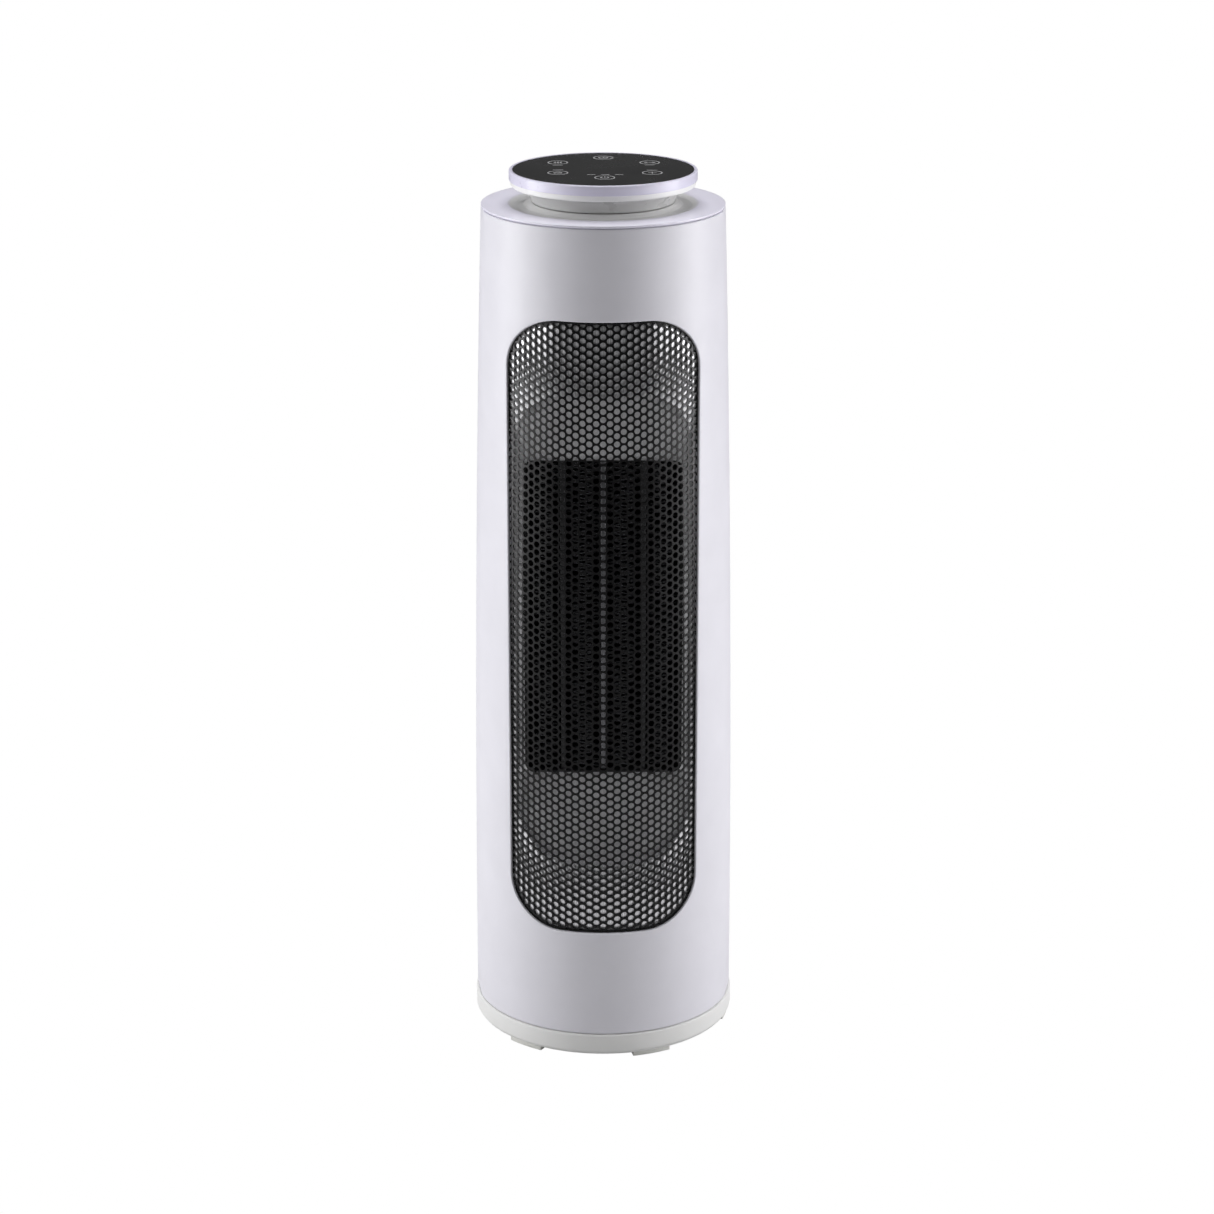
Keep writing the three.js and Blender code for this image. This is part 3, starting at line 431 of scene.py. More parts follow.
def carve(piece, *cutters):
    """Cuts the cutters out of the piece."""
    combine(piece, "DIFFERENCE", cutters)
    piece.data.set_sharp_from_angle(angle=math.radians(35))
    return piece


def joined(name, *parts):
    """Several objects as one piece, keeping their material slots."""
    merged = bmesh.new()
    looks = []
    for part in parts:
        start = len(merged.faces)
        merged.from_mesh(part.data)
        merged.faces.ensure_lookup_table()
        shift = {}
        for i, look in enumerate(part.data.materials):
            if look not in looks:
                looks.append(look)
            shift[i] = looks.index(look)
        for face in merged.faces[start:]:
            face.material_index = shift[face.material_index]
        bpy.data.objects.remove(part)
    mesh = bpy.data.meshes.new(name)
    merged.to_mesh(mesh)
    merged.free()
    for look in looks:
        mesh.materials.append(look)
    return linked(name, mesh)


def install(piece, body, slot, *nodes):
    """The piece rides on a body and stands for CAD nodes, which are hidden. The slot is not used.
    """
    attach(piece, body)
    if nodes:
        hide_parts(*nodes)


def frame_box(node, shrink_by=0.0):
    """A CAD node's box in mm, drawn in on every side, or let out by a negative amount."""
    low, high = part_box(node)
    return (
        [value / MM + shrink_by for value in low],
        [value / MM - shrink_by for value in high],
    )


def frame_middle(node):
    """The middle of a CAD node's box in mm."""
    low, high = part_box(node)
    return [(a + b) / 2 / MM for a, b in zip(low, high)]


# ------------ the tower's surface
def tower_radius(z, inset=0.0):
    return TOWER_RADIUS - (z - TOWER_BOTTOM) ** 2 / (2 * BELLY_RADIUS) - inset


def on_front(x, z, inset=0.0):
    """The point of the tower's front surface seen at (x, z), sunk by an inset."""
    outer = tower_radius(z)
    angle = math.asin(max(-1, min(1, x / outer)))
    r = outer - inset
    return (r * math.sin(angle), -r * math.cos(angle), z)


def behind_front(x, z, inset):
    """The point straight behind (x, z) on the front surface sunk by an inset."""
    r = tower_radius(z) - inset
    return (x, -math.sqrt(r * r - x * x), z)


def between(start, end, t):
    """The point at a share t of the way from one point to another."""
    return tuple(a + (b - a) * t for a, b in zip(start, end))


def rounded_loop(outline, grow=0.0, per_corner=16, per_side=14, per_end=10):
    """Points round a rounded rectangle, counter-clockwise from the right side's foot."""
    r = max(outline["corner"] + grow, 0.5)
    right = outline["half"] + grow
    bottom, top = outline["low"] - grow, outline["high"] + grow
    corners = [
        (right - r, top - r, 0.0),
        (-right + r, top - r, 90.0),
        (-right + r, bottom + r, 180.0),
        (right - r, bottom + r, 270.0),
    ]
    arcs = []
    for cx, cz, start in corners:
        steps = [math.radians(start + 90 * i / per_corner) for i in range(per_corner + 1)]
        arcs.append([(cx + r * math.cos(a), cz + r * math.sin(a)) for a in steps])
    loop = []
    for i, arc in enumerate(arcs):
        before = arcs[i - 1][-1]
        spans = per_side if i in (0, 2) else per_end
        loop += [between(before, arc[0], step / spans) for step in range(1, spans)]
        loop += arc
    return loop


def bridge(faces, first, second, count):
    """Quads between two loops of the same length, given where each starts."""
    for i in range(count):
        j = (i + 1) % count
        faces.append((first + i, first + j, second + j, second + i))


def prism(name, plan, levels, place, look):
    """A solid between a plan's copies at two levels. place(a, b, level) gives each point."""
    count = len(plan)
    vertices = [place(a, b, level) for level in levels for a, b in plan]
    faces = [tuple(range(count))[::-1], tuple(range(count, 2 * count))]
    bridge(faces, 0, count, count)
    return make_object(name, vertices, faces, look)


def through_rear(name, plan):
    """A bar along Y with its plan in X and Z, long enough to pass the rear wall."""
    return prism(name, plan, CLEAR, lambda x, z, y: (x, y, z), "shell_white")


def loops_to_object(name, loops, look, closed=True, sharp_angle=35):
    count = len(loops[0])
    vertices = [point for loop in loops for point in loop]
    faces = []
    rings = len(loops)
    for ring in range(rings if closed else rings - 1):
        bridge(faces, ring * count, (ring + 1) % rings * count, count)
    return make_object(name, vertices, faces, look, sharp_angle)


def half_shell(name, opening, back):
    """A half of the tower's wall with one opening, as loops that grow from its edge."""
    side = 1 if back else -1

    def point(angle, z, inset):
        r = tower_radius(z) - inset
        return (r * math.sin(angle), side * r * math.cos(angle), z)

    inner = rounded_loop(opening)
    # the half's own border, met by straight lines out of the opening's middle
    middle = (opening["low"] + opening["high"]) / 2
    edge_angle = math.pi / 2 - SEAM / TOWER_RADIUS
    low, high = TOWER_BOTTOM, TOWER_TOP

    def border(x, z):
        angle = math.asin(x / tower_radius(z))
        reach = []
        if abs(angle) > 1e-9:
            reach.append(edge_angle / abs(angle))
        if z > middle:
            reach.append((high - middle) / (z - middle))
        if z < middle:
            reach.append((middle - low) / (middle - z))
        t = min(reach)
        return angle * t, middle + (z - middle) * t

    starts = [(math.asin(x / tower_radius(z)), z) for x, z in inner]
    ends = [border(x, z) for x, z in inner]
    snap_corners(ends, edge_angle, low, high)
    loops = []
    # the opening's rounded lip, from the inside out
    nudge = 0.01
    normals = [
        ((bx - ax) / nudge, (bz - az) / nudge)
        for (ax, az), (bx, bz) in zip(inner, rounded_loop(opening, nudge))
    ]
    loops.append([lip_point(point, p, n, 0, WALL) for p, n in zip(inner, normals)])
    for step in range(EDGE_STEPS + 1):
        turn = math.pi / 2 * step / EDGE_STEPS
        out = EDGE_ROUND * (1 - math.cos(turn))
        sunk = EDGE_ROUND * (1 - math.sin(turn))
        loops.append([lip_point(point, p, n, out, sunk) for p, n in zip(inner, normals)])
    first = [
        (math.asin((x + nx * EDGE_ROUND) / tower_radius(z)), z + nz * EDGE_ROUND)
        for (x, z), (nx, nz) in zip(inner, normals)
    ]
    rings, spread = 26, 0.9
    last = [shrink(e, edge_angle, low, high, EDGE_ROUND) for e in ends]
    for ring in range(1, rings + 1):
        t = (ring / rings) ** spread
        loops.append([point(*between(a, b, t), 0) for a, b in zip(first, last)])
    for step in range(1, EDGE_STEPS + 1):
        turn = math.pi / 2 * step / EDGE_STEPS
        inside = EDGE_ROUND * (1 - math.sin(turn))
        sunk = EDGE_ROUND * (1 - math.cos(turn))
        loops.append([point(*shrink(e, edge_angle, low, high, inside), sunk) for e in ends])
    loops.append([point(a, z, WALL) for a, z in ends])
    # the inner face back to the opening
    inner_rings = 7
    for ring in range(1, inner_rings):
        t = ring / inner_rings
        loops.append([point(*between(a, b, t), WALL) for a, b in zip(ends, starts)])
    return loops_to_object(name, loops, "shell_white")


def lip_point(point, place, normal, out, sunk):
    x, z = place[0] + normal[0] * out, place[1] + normal[1] * out
    return point(math.asin(x / tower_radius(z)), z, sunk)


def shrink(place, edge_angle, low, high, inside):
    """Pulls a border point in from the border by a distance in mm."""
    angle, z = place
    limit = edge_angle - inside / TOWER_RADIUS
    return max(-limit, min(limit, angle)), max(low + inside, min(high - inside, z))


def snap_corners(ends, edge_angle, low, high):
    """Moves the nearest border point onto each corner, so that the corner is square."""
    for angle in (-edge_angle, edge_angle):
        for z in (low, high):
            nearest = min(
                range(len(ends)),
                key=lambda i: math.hypot((ends[i][0] - angle) * TOWER_RADIUS, ends[i][1] - z),
            )
            ends[nearest] = (angle, z)


# ------------ base
def build_base():
    shell = lathed("base_ring", [
        (82.0, 3.2), (84.2, 2.8), (BASE_RADIUS, 5.2), (BASE_RADIUS, 16.2), (84.9, 16.9),
        (82.4, 16.9), (82.0, 13.6), (20.0, 13.6), (20.0, 24.0), (14.0, 24.0), (14.0, 11.6),
        (82.0, 11.6),
    ], "ivory", [0.3, 0.8, 1.6, 0.7, 0.5, 0.3, 0.3, 0.3, 0.5, 0.5, 0.3, 0.3])
    radius, start = INLET["radius"], INLET["inner_end"]
    hole = lathed("inlet_cut", [(0, start), (radius, start), (radius, CLEAR[1]), (0, CLEAR[1])],
                  "ivory", 0, (0, INLET["height"]), "Y", 48, closed=False)
    install(carve(shell, hole), "base", "ivory", "base_housing")

    cover = lathed("base_cover", [(0, 3.2), (82.0, 3.2), (82.0, 5.2), (0, 5.2)], "ivory", 0.4,
                   closed=False)
    install(cover, "base", "ivory", "base_bottom_cover")

    for i in range(6):
        name = f"foot_{i + 1}"
        install(build_foot(f"{name}_pad", name), "base", "foot_ivory", name)

    grommet = lathed("cord_inlet", [
        (3.3, 78.0), (4.4, 78.0), (4.4, 84.4), (5.2, 84.4), (5.2, 85.4), (4.3, 85.8),
        (3.3, 85.2),
    ], "ivory", 0.25, (0, INLET["height"]), "Y", 64)
    install(grommet, "base", "ivory", "cord_inlet_grommet")


def build_foot(name, node):
    """A pad that follows the base's rim, with rounded edges."""
    low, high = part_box(node)
    middle = math.atan2(low[0] + high[0], -low[1] - high[1])
    steps = 12
    angles = [middle + FOOT["half_turn"] * (2 * i / steps - 1) for i in range(steps + 1)]
    plan = []
    for radius, turns in ((FOOT["outer"], angles), (FOOT["inner"], reversed(angles))):
        plan += [(radius * math.sin(a), -radius * math.cos(a)) for a in turns]
    pad = prism(name, plan, (0.0, FOOT["high"]), lambda x, y, z: (x, y, z), "foot_ivory")
    return bevelled(pad, 0.5, angle=50)


# ------------ shells
def build_shells():
    front = half_shell("front_wall", OPENING, back=False)
    install(front, "tower", "shell_white", "front_shell")
    rear = half_shell("rear_wall", INTAKE, back=True)
    radius, seat = WELL["inner"], WELL["seat"]
    cutters, wells = [], []
    for i in range(1, 5):
        x, _, z = frame_middle(f"shell_screw_{i}")
        bore = [(0, seat), (radius, seat), (radius, CLEAR[1]), (0, CLEAR[1])]
        cutters.append(
            lathed("well_cut", bore, "shell_white", 0, (x, z), "Y", 48, closed=False)
        )
        wells.append(screw_well(x, z))
    low, high = frame_box("main_switch_bezel", -GAP)
    cutters.append(box_mm("switch_cut", (low[0], CLEAR[0], low[2]),
                          (high[0], CLEAR[1], high[2]), "shell_white", 0))
    rear = joined("rear_wall", carve(rear, *cutters), *wells)
    install(rear, "tower", "shell_white", "rear_shell")


def screw_well(cx, cz, facets=48):
    """A tube from its holed seat, which holds the screw's head, out into the rear wall."""
    def loop(radius, depth):
        points = []
        for i in range(facets):
            turn = 2 * math.pi * i / facets
            x, z = cx + radius * math.cos(turn), cz + radius * math.sin(turn)
            in_wall = math.sqrt((tower_radius(z) - WALL / 2) ** 2 - x * x)
            points.append((x, in_wall if depth is None else depth, z))
        return points

    hole, inner, outer, seat = WELL["hole"], WELL["inner"], WELL["outer"], WELL["seat"]
    low = seat - 1.5
    # a depth of None is inside the rear wall's thickness
    section = [(hole, low), (hole, seat), (inner, seat), (inner, None), (outer, None), (outer, low)]
    return loops_to_object("well_tube", [loop(*place) for place in section], "shell_white")


# ------------ outlet grille
def inside_outline(x, z, outline, grow=0.0):
    """Signed distance in mm from a rounded rectangle's edge, negative inside."""
    r = outline["corner"] + grow
    half_x = outline["half"] + grow - r
    half_z = (outline["high"] - outline["low"]) / 2 + grow - r
    dx = abs(x) - half_x
    dz = abs(z - (outline["high"] + outline["low"]) / 2) - half_z
    outside = math.hypot(max(dx, 0), max(dz, 0))
    return outside + min(max(dx, dz), 0) - r


def pulled_inside(x, z, outline, grow):
    """Moves a point that lies outside the outline onto its edge."""
    distance = inside_outline(x, z, outline, grow)
    if distance <= 0:
        return x, z
    step = 0.01
    gx = (inside_outline(x + step, z, outline, grow) - distance) / step
    gz = (inside_outline(x, z + step, outline, grow) - distance) / step
    return x - gx * distance, z - gz * distance


def build_grille():
    """A perforated sheet: hexagonal cells on the curved surface, each with a round hole."""
    column_angle = HOLE_PITCH * math.sqrt(3) / 2 / GRID_RADIUS
    middle = (OPENING["low"] + OPENING["high"]) / 2
    vertices, faces = [], []
    known = {}
    past_edge = 0.6  # a hole whose centre is this far past the edge still shows

    def vertex(angle, z, depth):
        front = tower_radius(z, SHEET_RECESS)
        px, pz = pulled_inside(front * math.sin(angle), z, OPENING, -SHEET_MARGIN)
        key = (round(px, 3), round(pz, 3), depth)
        if key not in known:
            known[key] = len(vertices)
            front = tower_radius(pz, SHEET_RECESS)
            across = math.asin(px / front)
            r = front - depth
            vertices.append((r * math.sin(across), -r * math.cos(across), pz))
        return known[key]

    for column in range(-GRID_COLUMNS, GRID_COLUMNS + 1):
        for row in range(-GRID_ROWS, GRID_ROWS + 1):
            centre_angle = column * column_angle
            centre_z = middle + (row + (0.5 if column % 2 else 0)) * HOLE_PITCH
            x = tower_radius(centre_z, SHEET_RECESS) * math.sin(centre_angle)
            if inside_outline(x, centre_z, OPENING, past_edge) > 0:
                continue
            add_cell(vertex, faces, centre_angle, centre_z)
    sheet = make_object("grille_sheet", vertices, faces, "grille_black", 40)
    install(sheet, "tower", "grille_black", "front_grille")
    install(build_grille_rim(), "tower", "grille_black")


def add_cell(vertex, faces, angle, z, spokes=12):
    """One hexagon of the sheet with a round hole: its front, its wall and its back."""
    outer, mouth, throat, back = [], [], [], []
    for k in range(spokes):
        turn = 2 * math.pi * k / spokes
        c, s = math.cos(turn), math.sin(turn)
        # distance from a hexagon's centre to its edge, corners at 0, 60, ... degrees
        sector = (turn % (math.pi / 3)) - math.pi / 6
        reach = HOLE_PITCH / 2 / math.cos(sector)
        corner = (angle + c * reach / GRID_RADIUS, z + s * reach)
        edge = (angle + c * HOLE_RADIUS / GRID_RADIUS, z + s * HOLE_RADIUS)
        outer.append(vertex(*corner, 0))
        back.append(vertex(*corner, SHEET_THICKNESS))
        mouth.append(vertex(*edge, 0))
        throat.append(vertex(*edge, SHEET_THICKNESS))
    for k in range(spokes):
        n = (k + 1) % spokes
        for a, b in ((outer, mouth), (mouth, throat), (throat, back)):
            quad = (a[k], a[n], b[n], b[k])
            if len(set(quad)) == 4:
                faces.append(quad)


def build_grille_rim():
    """The frame round the sheet, rounded at its front edges."""
    outline = [
        (-GAP, LINER_EDGE), (-GAP, RIM_RECESS), (-GAP - RIM_WIDTH, RIM_RECESS),
        (-GAP - RIM_WIDTH, LINER_EDGE),
    ]
    loops = []
    for grow, inset in filleted(outline, [0, 0.5, 0.5, 0]):
        around = rounded_loop(OPENING, grow, 20, 40, 24)
        loops.append([behind_front(x, z, inset) for x, z in around])
    return loops_to_object("grille_rim", loops, "grille_black")


# ------------ duct liner
def build_liner():
    """The silver duct: a tray close behind the sheet, then a funnel back to the heater."""
    resolution = dict(per_corner=16, per_side=24, per_end=12)
    tray_rings, funnel_rings = 10, 12
    edge = rounded_loop(OPENING, -0.9, **resolution)
    mouth = rounded_loop(POCKET, 0, **resolution)
    end = [(x, LINER_BACK, z) for x, z in rounded_loop(WINDOW, 0, **resolution)]
    loops = []
    for i in range(tray_rings + 1):
        t = i / tray_rings
        depth = LINER_EDGE + (LINER_FACE - LINER_EDGE) * t * t
        loops.append([behind_front(*between(a, b, t), depth) for a, b in zip(edge, mouth)])
    step = [
        (x, y + (LINER_BACK - y) * STEP_SHARE, z)
        for (_, y, _), (x, z) in zip(loops[-1], rounded_loop(POCKET, -STEP_INWARDS, **resolution))
    ]
    for i in range(funnel_rings + 1):
        loops.append([between(a, b, i / funnel_rings) for a, b in zip(step, end)])
    liner = loops_to_object("duct_liner", loops, "liner_silver", closed=False, sharp_angle=30)
    install(thickened(liner, LINER_WALL, -1), "tower", "liner_silver", "outlet_duct_liner")


# ------------ heater block
def build_heater():
    low, high = frame_box("heater_frame")
    outer = box_mm("heater_surround", low, high, "black_moulding", 0.8)
    rail, past = 3.4, 5.0
    window = box_mm("window_cut", (low[0] + rail, low[1] - past, low[2] + rail),
                    (high[0] - rail, high[1] + past, high[2] - rail), "black_moulding", 0)
    install(carve(outer, window), "tower", "black_moulding", "heater_frame")
    # the outer bars take the darker copy, painted shade at the duct's sides
    for side, look in (("left", "dull_bar"), ("centre", "aluminium"), ("right", "dull_bar")):
        node = f"ptc_bar_{side}"
        bar = box_mm(f"{node}_strip", *frame_box(node), look, 0.4)
        install(bar, "tower", "aluminium", node)
    for i in range(1, 5):
        node = f"heater_fins_{i}"
        install(build_fins(f"{node}_pack", node), "tower", "fins_dark", node)


def build_fins(name, node):
    """A finely folded strip in the space of the CAD pack."""
    low, high = frame_box(node)
    folds, thickness = 84, 0.35
    clearance = 1.0  # above and below the pack
    step = (high[2] - low[2] - 2 * clearance) / folds
    vertices, faces = [], []
    for i in range(folds + 1):
        x = low[0] if i % 2 else high[0]
        z = low[2] + clearance + i * step
        for y in (low[1], high[1]):
            vertices.append((x, y, z))
    for i in range(folds):
        faces.append((2 * i, 2 * i + 1, 2 * i + 3, 2 * i + 2))
    pack = make_object(name, vertices, faces, "fins_dark", 20)
    return thickened(pack, thickness, 0)


# ------------ top
def build_top():
    cap = lathed("cap_ring", [
        (74.0, 549.1), (76.0, 549.1), (CAP_RADIUS, 550.0), (CAP_RADIUS, 550.9), (59.8, 550.9),
        (56.0, 549.4), (50.0, 549.9), (45.4, 551.9), (38.0, 551.9), (38.0, 549.7),
        (46.0, 548.9), (52.0, 547.7), (72.0, 548.5), (72.0, 541.0), (74.0, 541.0),
    ], "cap_dished", [0.2, 0.2, 0.2, 0.4, 2.5, 4.0, 4.0, 0.3, 0.3, 0.2, 0.5, 1, 0.2, 0.2, 0.2])
    install(cap, "tower", "shell_white", "top_cap")

    # the neck's grey is painted shade under the disc
    neck = lathed("neck_flare", [
        (35.4, 543.0), (37.4, 543.0), (37.4, 552.5), (NECK_RADIUS, 552.5), (46.0, 555.2),
        (48.4, 559.0), (53.4, 561.7), (49.0, 561.7), (45.0, 559.0), (43.2, 554.2),
        (35.4, 554.2),
    ], "neck_painted_shade", [0.2, 0.2, 0.2, 0.3, 6, 6, 0.4, 0.3, 2, 2, 0.2])
    install(neck, "tower", "ivory", "panel_neck")

    lip = lathed("panel_underside", [
        (10, 562.0), (57.2, 562.0), (58.0, 562.8), (58.0, 565.6), (10, 565.6),
    ], "ivory", [0.2, 0.8, 0.6, 0.3, 0.2])
    ring = lathed("panel_ring", [
        (57.2, 565.7), (PANEL_RADIUS, 565.7), (PANEL_RADIUS, 572.1), (57.1, 572.1),
        (57.1, 569.6), (55.0, 569.6), (55.0, 565.9),
    ], "cap_white", [0.3, 0.5, 1.1, 0.2, 0.1, 0.2, 0.2])
    install(ring, "tower", "shell_white", "panel_housing")
    install(lip, "tower", "ivory")

    glass = lathed("glass_disc", [
        (0, 569.9), (GLASS_RADIUS, 569.9), (GLASS_RADIUS, 572.05), (0, 572.05),
    ], "glass_black", [0, 0.2, 0.3, 0], closed=False)
    install(glass, "tower", "glass_black", "touch_glass")


# ------------ panel symbols
def flat_strip(points, width, closed=False):
    """Vertices and faces of a thin printed line of even width along plan points."""
    count = len(points)
    rows = []
    for i, (x, y) in enumerate(points):
        ax, ay = points[i - 1] if closed or i > 0 else points[i]
        bx, by = points[(i + 1) % count] if closed or i < count - 1 else points[i]
        length = math.hypot(bx - ax, by - ay)
        nx, ny = -(by - ay) / length * width / 2, (bx - ax) / length * width / 2
        rows.append(((x + nx, y + ny), (x - nx, y - ny)))
    vertices = []
    for (ax, ay), (bx, by) in rows:
        vertices += [(ax, ay, INK_TOP), (bx, by, INK_TOP), (bx, by, INK_LOW), (ax, ay, INK_LOW)]
    faces = []
    for i in range(count if closed else count - 1):
        j = (i + 1) % count
        for k in range(4):
            n = (k + 1) % 4
            faces.append((4 * i + k, 4 * i + n, 4 * j + n, 4 * j + k))
    if not closed:
        faces += [(0, 1, 2, 3), (4 * count - 1, 4 * count - 2, 4 * count - 3, 4 * count - 4)]
    return vertices, faces


def add_strip(vertices, faces, points, closed, width=INK_LINE, place=lambda point: point):
    """Adds a printed line to a mesh's lists, with place moving each of its points."""
    new_vertices, new_faces = flat_strip(points, width, closed)
    start = len(vertices)
    vertices.extend(place(point) for point in new_vertices)
    faces.extend(tuple(start + i for i in face) for face in new_faces)


def arc_points(x, y, radius, start=0, end=360, steps=28):
    whole = end - start == 360
    count = steps if whole else steps + 1
    angles = [math.radians(start + (end - start) * i / steps) for i in range(count)]
    return [(x + radius * math.cos(a), y + radius * math.sin(a)) for a in angles]


def glyph(kind, x, y):
    """The lines of one touch symbol, as (points, closed) about its centre."""
    if kind == "power":
        return [(arc_points(x, y, 2.4, 120, 420), False), ([(x, y + 0.6), (x, y + 3.2)], False)]
    if kind == "swing":
        return [([(x - 2.4, y), (x + 2.4, y)], False)] + [
            ([(x + side * 1.7, y + 1.6), (x + side * 3.3, y), (x + side * 1.7, y - 1.6)], False)
            for side in (-1, 1)
        ]
    if kind == "timer":
        return [(arc_points(x, y, 2.8), True), ([(x, y + 1.9), (x, y), (x + 1.5, y - 0.9)], False)]
    if kind == "fan":
        return [
            (arc_points(x + 1.3 * math.cos(a), y + 1.3 * math.sin(a), 1.3), True)
            for a in (math.radians(d) for d in (90, 210, 330))
        ]
    if kind == "warm":
        return [
            ([(x + dx + 0.5 * math.sin(t * 1.6), y - 2.4 + t * 0.8) for t in range(7)], False)
            for dx in (-1.8, 0, 1.8)
        ]
    return [([(x - 2.6, y), (x + 2.6, y)], False), ([(x, y - 2.6), (x, y + 2.6)], False)]


def build_symbols():
    keys = [
        ("timer", 0.0, 39.0), ("warm", -28.7, 22.0), ("swing", 29.4, 22.0),
        ("fan", -28.2, -13.6), ("plus", 30.6, -13.6), ("power", 1.0, -30.0),
    ]
    vertices, faces = [], []
    for kind, x, y in keys:
        add_strip(vertices, faces, arc_points(x, y, SYMBOL_RING, steps=64), True)
        for points, closed in glyph(kind, x, y):
            add_strip(vertices, faces, points, closed)
    # plain bars: three above the power key and one by each of four others
    for x in (-7.4, 1.2, 9.9):
        add_strip(vertices, faces, [(x - 2.6, -20.0), (x + 2.6, -20.0)], False, 0.9)
    for x, y in ((-28.7, 12.2), (-28.2, -3.6), (29.4, 13.2), (30.6, -4.6)):
        add_strip(vertices, faces, [(x - 3.2, y), (x + 3.2, y)], False, 0.8)
    mesh = bpy.data.meshes.new("touch_symbols")
    mesh.from_pydata([(x * MM, y * MM, z * MM) for x, y, z in vertices], [], faces)
    mesh.materials.append(MATERIALS["icon_ink"])
    install(linked("touch_symbols", mesh), "tower", "glass_black")


# ------------ rear
def build_intake_cover():
    """A curved panel with upright slots, in columns that its own facets line up with."""
    columns = 9
    end, bridge_width = 14, 8
    outline = rounded_loop(INTAKE, -GAP, 12, 1, 1)
    panel = curved_plate("intake_panel", outline, 0.0, 2.1, "shell_white")
    middle = (INTAKE["low"] + INTAKE["high"]) / 2
    rows = [
        (INTAKE["low"] + end, middle - bridge_width / 2),
        (middle + bridge_width / 2, INTAKE["high"] - end),
    ]
    cutters = []
    for low, high in rows:
        for i in range(columns):
            x = (i - (columns - 1) / 2) * SLOT_PITCH
            cutters.append(slot_cutter(x, low, high))
    carve(panel, *cutters)
    bevelled(panel, 0.35, 2)
    # flat faces keep their own shading beside the thin bevels
    panel.modifiers.new("normals", "WEIGHTED_NORMAL").keep_sharp = True
    apply_modifiers(panel)
    install(panel, "intake", "shell_white", "intake_cover")


def slot_cutter(x, low, high):
    """A round-ended bar along Y."""
    r = SLOT_WIDTH / 2
    turns = [math.radians(180 * i / 10) for i in range(11)]
    plan = [(x + r * math.cos(a), high - r + r * math.sin(a)) for a in turns]
    plan += [(x - r * math.cos(a), low + r - r * math.sin(a)) for a in turns]
    return through_rear("slot_cut", plan)


def curved_plate(name, outline, front, back, look):
    """A plate that follows the rear surface inside an outline, cut from a dense strip."""
    low = min(z for _, z in outline) - 2
    high = max(z for _, z in outline) + 2
    half = max(x for x, _ in outline) + 2
    bars = [i * SLOT_PITCH / 2 for i in range(-11, 12)]
    across = [-half] + [x for x in bars if abs(x) < half - 0.5] + [half]
    rows = 48
    up = [low + (high - low) * i / rows for i in range(rows + 1)]
    vertices, faces = [], []
    for inset in (front, back):
        for z in up:
            for x in across:
                px, py, pz = on_front(x, z, inset)
                vertices.append((px, -py, pz))
    wide, tall = len(across), len(up)
    layer = wide * tall
    for j in range(tall - 1):
        for i in range(wide - 1):
            a = j * wide + i
            faces.append((a, a + 1, a + wide + 1, a + wide))
            faces.append((layer + a, layer + a + wide, layer + a + wide + 1, layer + a + 1))
    edge = list(range(wide)) + [j * wide + wide - 1 for j in range(1, tall)]
    edge += [(tall - 1) * wide + i for i in range(wide - 2, -1, -1)]
    edge += [j * wide for j in range(tall - 2, 0, -1)]
    for k, a in enumerate(edge):
        b = edge[(k + 1) % len(edge)]
        faces.append((a, layer + a, layer + b, b))
    plate = make_object(name, vertices, faces, look)
    keep = through_rear("keep", outline)
    combine(plate, "INTERSECT", [keep])
    return plate


def build_switch():
    low, high = frame_box("main_switch_bezel")
    bezel = box_mm("switch_frame", low, high, "black_moulding", 1.0)
    middle_z = (low[2] + high[2]) / 2
    half, reach, floor = SWITCH_WELL["half"], SWITCH_WELL["reach"], SWITCH_WELL["floor"]
    well = box_mm("switch_well", (-half, floor, middle_z - reach),
                  (half, CLEAR[1], middle_z + reach), "black_moulding", 0)
    carve(bezel, well)
    install(bevelled(bezel, 0.25, 2), "tower", "black_moulding", "main_switch_bezel")

    end, dip, horn = KEY["reach"], KEY["dip"], KEY["horn"]
    side = filleted([(-1, -end), (horn, -end), (dip, 0), (horn, end), (-1, end)],
                    [0.3, 0.9, 14, 0.9, 0.3], 6)
    rocker = prism("rocker_key", side, (-KEY["half"], KEY["half"]),
                   lambda y, z, x: on_key(x, y, z, middle_z), "black_moulding")
    install(bevelled(rocker, 0.35, 2), "rocker", "black_moulding", "main_switch_rocker")
    build_rocker_marks(middle_z)


def on_key(x, y, z, middle_z):
    """A point of the tilted key, given from its pivot."""
    c, s = math.cos(KEY["tilt"]), math.sin(KEY["tilt"])
    return x, KEY["pivot"] + y * c - z * s, middle_z + y * s + z * c


def build_rocker_marks(middle_z):
    """The generic on and off marks, a bar and a ring, printed on the key."""
    def on_face(point):
        x, z, layer = point
        face = KEY["dip"] + (KEY["horn"] - KEY["dip"]) * abs(z) / KEY["reach"]
        return on_key(x, face + (0.12 if layer == INK_TOP else -0.3), z, middle_z)

    vertices, faces = [], []
    add_strip(vertices, faces, [(0, 3.2), (0, 6.4)], False, 0.9, on_face)
    add_strip(vertices, faces, arc_points(0, -4.9, 1.6, steps=24), True, 0.9, on_face)
    marks = make_object("rocker_marks", vertices, faces, "mark_white")
    install(marks, "rocker", "black_moulding")


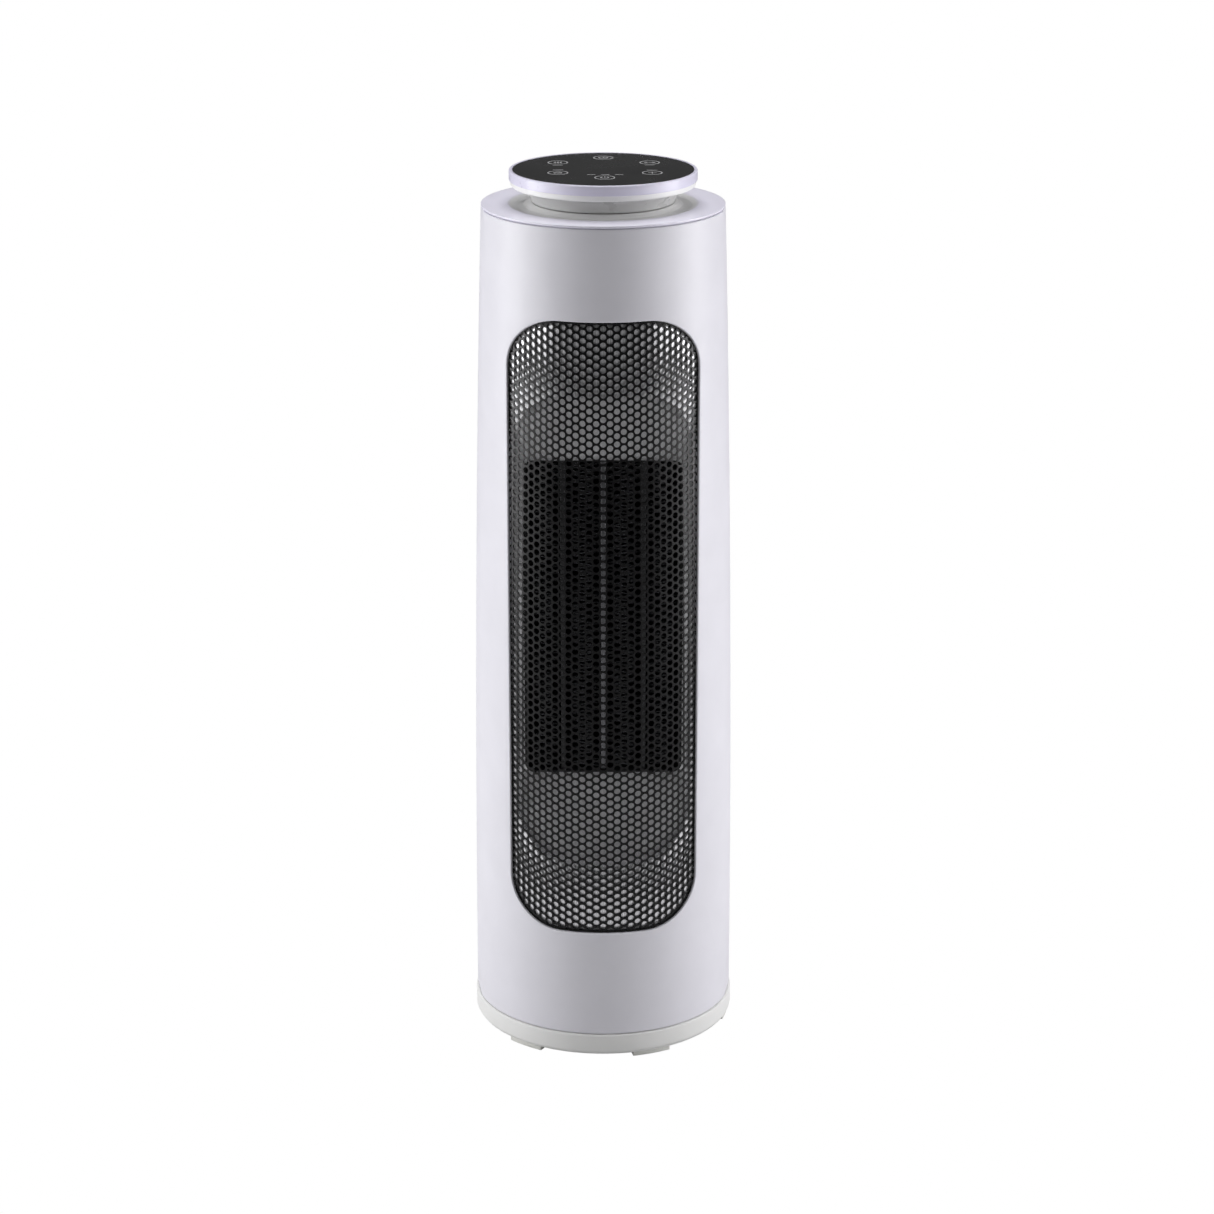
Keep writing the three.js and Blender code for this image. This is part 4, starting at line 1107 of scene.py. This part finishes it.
def build_screws():
    """Cross-head screws in the rear shell's wells and under the base."""
    for i in range(1, 5):
        node = f"shell_screw_{i}"
        x, _, z = frame_middle(node)
        head = lathed(f"{node}_head", [
            (0, 12.3), (3.3, 12.3), (3.3, 13.9), (2.2, 14.7), (0, 14.7),
        ], "steel", [0, 0.2, 0.8, 1.2, 0], (x, z), "Y", 40, closed=False)
        carve(head, *cross_cutters(x, z, 13.9, 16, "Y"))
        shank = lathed("shank", [(0, -14), (1.7, -12.5), (1.7, 12.4), (0, 12.4)], "steel", 0,
                       (x, z), "Y", 24, closed=False)
        install(joined(f"{node}_cross", head, shank), "tower", "steel", node)
    for i in range(1, 4):
        node = f"base_screw_{i}"
        x, y, _ = frame_middle(node)
        head = lathed(f"{node}_cross", [
            (0, 3.0), (3.4, 3.0), (3.4, 2.2), (2.4, 1.5), (0, 1.5),
        ], "steel", [0, 0.2, 0.6, 0.8, 0], (x, y), "Z", 40, closed=False)
        install(carve(head, *cross_cutters(x, y, 1.0, 2.2, "Z")), "base", "steel", node)


def cross_cutters(x, other, low, high, along):
    """Two crossed bars that cut the recess of a screw's head between two depths."""
    cutters = []
    for wide, tall in ((CROSS_REACH, CROSS_HALF), (CROSS_HALF, CROSS_REACH)):
        corners = []
        for sign, depth in ((-1, low), (1, high)):
            a, b = x + sign * wide, other + sign * tall
            corners.append((a, depth, b) if along == "Y" else (a, b, depth))
        cutters.append(box_mm("cut", *corners, "steel", 0))
    return cutters


# ------------ carried-over CAD nodes
def dress_cad_nodes():
    """Every CAD node that still shows gets the material of its record slot."""
    slots = {entry["node"]: entry["material_slot"] for entry in frame["record"]["subparts"]}
    for node, piece in frame["nodes"].items():
        look = MATERIALS[slots[node]]
        if not piece.data.materials:
            piece.data.materials.append(look)
        for i in range(len(piece.data.materials)):
            piece.data.materials[i] = look


# ------------ stage
def build_stage():
    """A floor that the camera sees as even white, whatever light falls on it."""
    mesh = bpy.data.meshes.new("floor")
    reach = 14
    mesh.from_pydata([(-reach, -reach, 0), (reach, -reach, 0), (reach, reach, 0),
                      (-reach, reach, 0)], [], [(0, 1, 2, 3)])
    material, tree, shader = new_material("floor_white", Roughness=0.9)
    shader.inputs["Base Color"].default_value = (0.6, 0.6, 0.6, 1)
    glow = tree.nodes.new("ShaderNodeEmission")
    glow.inputs["Color"].default_value = (1, 1, 1, 1)
    glow.inputs["Strength"].default_value = 1.0
    split_rays(tree, shader.outputs["BSDF"], glow.outputs["Emission"], "Material Output")
    mesh.materials.append(material)
    linked("floor", mesh)


def split_rays(tree, lit, seen, output):
    """Lights the scene with one shader and shows another to the camera."""
    rays = tree.nodes.new("ShaderNodeLightPath")
    mix = tree.nodes.new("ShaderNodeMixShader")
    tree.links.new(rays.outputs["Is Camera Ray"], mix.inputs["Fac"])
    tree.links.new(lit, mix.inputs[1])
    tree.links.new(seen, mix.inputs[2])
    tree.links.new(mix.outputs["Shader"], tree.nodes[output].inputs["Surface"])


def area_light(name, place, size, power, color=(1, 1, 1)):
    light = bpy.data.lights.new(name, "AREA")
    light.shape = "RECTANGLE"
    light.size, light.size_y = size
    light.energy = power
    light.color = color
    lamp = linked(name, light)
    lamp.location = place
    direction = [t - p for t, p in zip(LIGHT_TARGET, place)]
    lamp.rotation_euler = Vector(direction).to_track_quat("-Z", "Y").to_euler()


def build_lights():
    """Soft boxes at the sides, weaker ones before them, one above, and a dim white world."""
    area_light("left_box", (-1.4, -0.05, 0.5), (0.8, 1.5), 18.2, (0.99, 0.99, 1))
    area_light("right_box", (1.4, -0.05, 0.5), (0.8, 1.5), 17.6, (0.99, 0.985, 1))
    area_light("left_front_box", (-1.4, -0.8, 0.4), (0.5, 1.4), 5.1)
    area_light("right_front_box", (1.4, -0.8, 0.4), (0.5, 1.4), 4.8)
    area_light("top_box", (0, 0.35, 1.9), (1.0, 1.0), 17)
    world = bpy.data.worlds.new("studio")
    bpy.context.scene.world = world
    world.use_nodes = True
    tree = world.node_tree
    background = tree.nodes["Background"]
    background.inputs["Color"].default_value = (0.98, 0.98, 1, 1)
    background.inputs["Strength"].default_value = 0.05
    seen = tree.nodes.new("ShaderNodeBackground")
    seen.inputs["Color"].default_value = (1, 1, 1, 1)
    split_rays(tree, background.outputs["Background"], seen.outputs["Background"], "World Output")


def build_camera():
    data = bpy.data.cameras.new("camera")
    data.sensor_width = SENSOR
    data.lens = LENS
    camera = linked("camera", data)
    camera.location = CAMERA_PLACE
    camera.rotation_euler = (CAMERA_PITCH, 0, 0)
    bpy.context.scene.camera = camera
    bpy.context.scene.view_settings.view_transform = "Standard"


build_camera()
build_stage()
build_lights()
dress_cad_nodes()
build_base()
build_shells()
build_grille()
build_liner()
build_heater()
build_top()
build_symbols()
build_intake_cover()
build_switch()
build_screws()
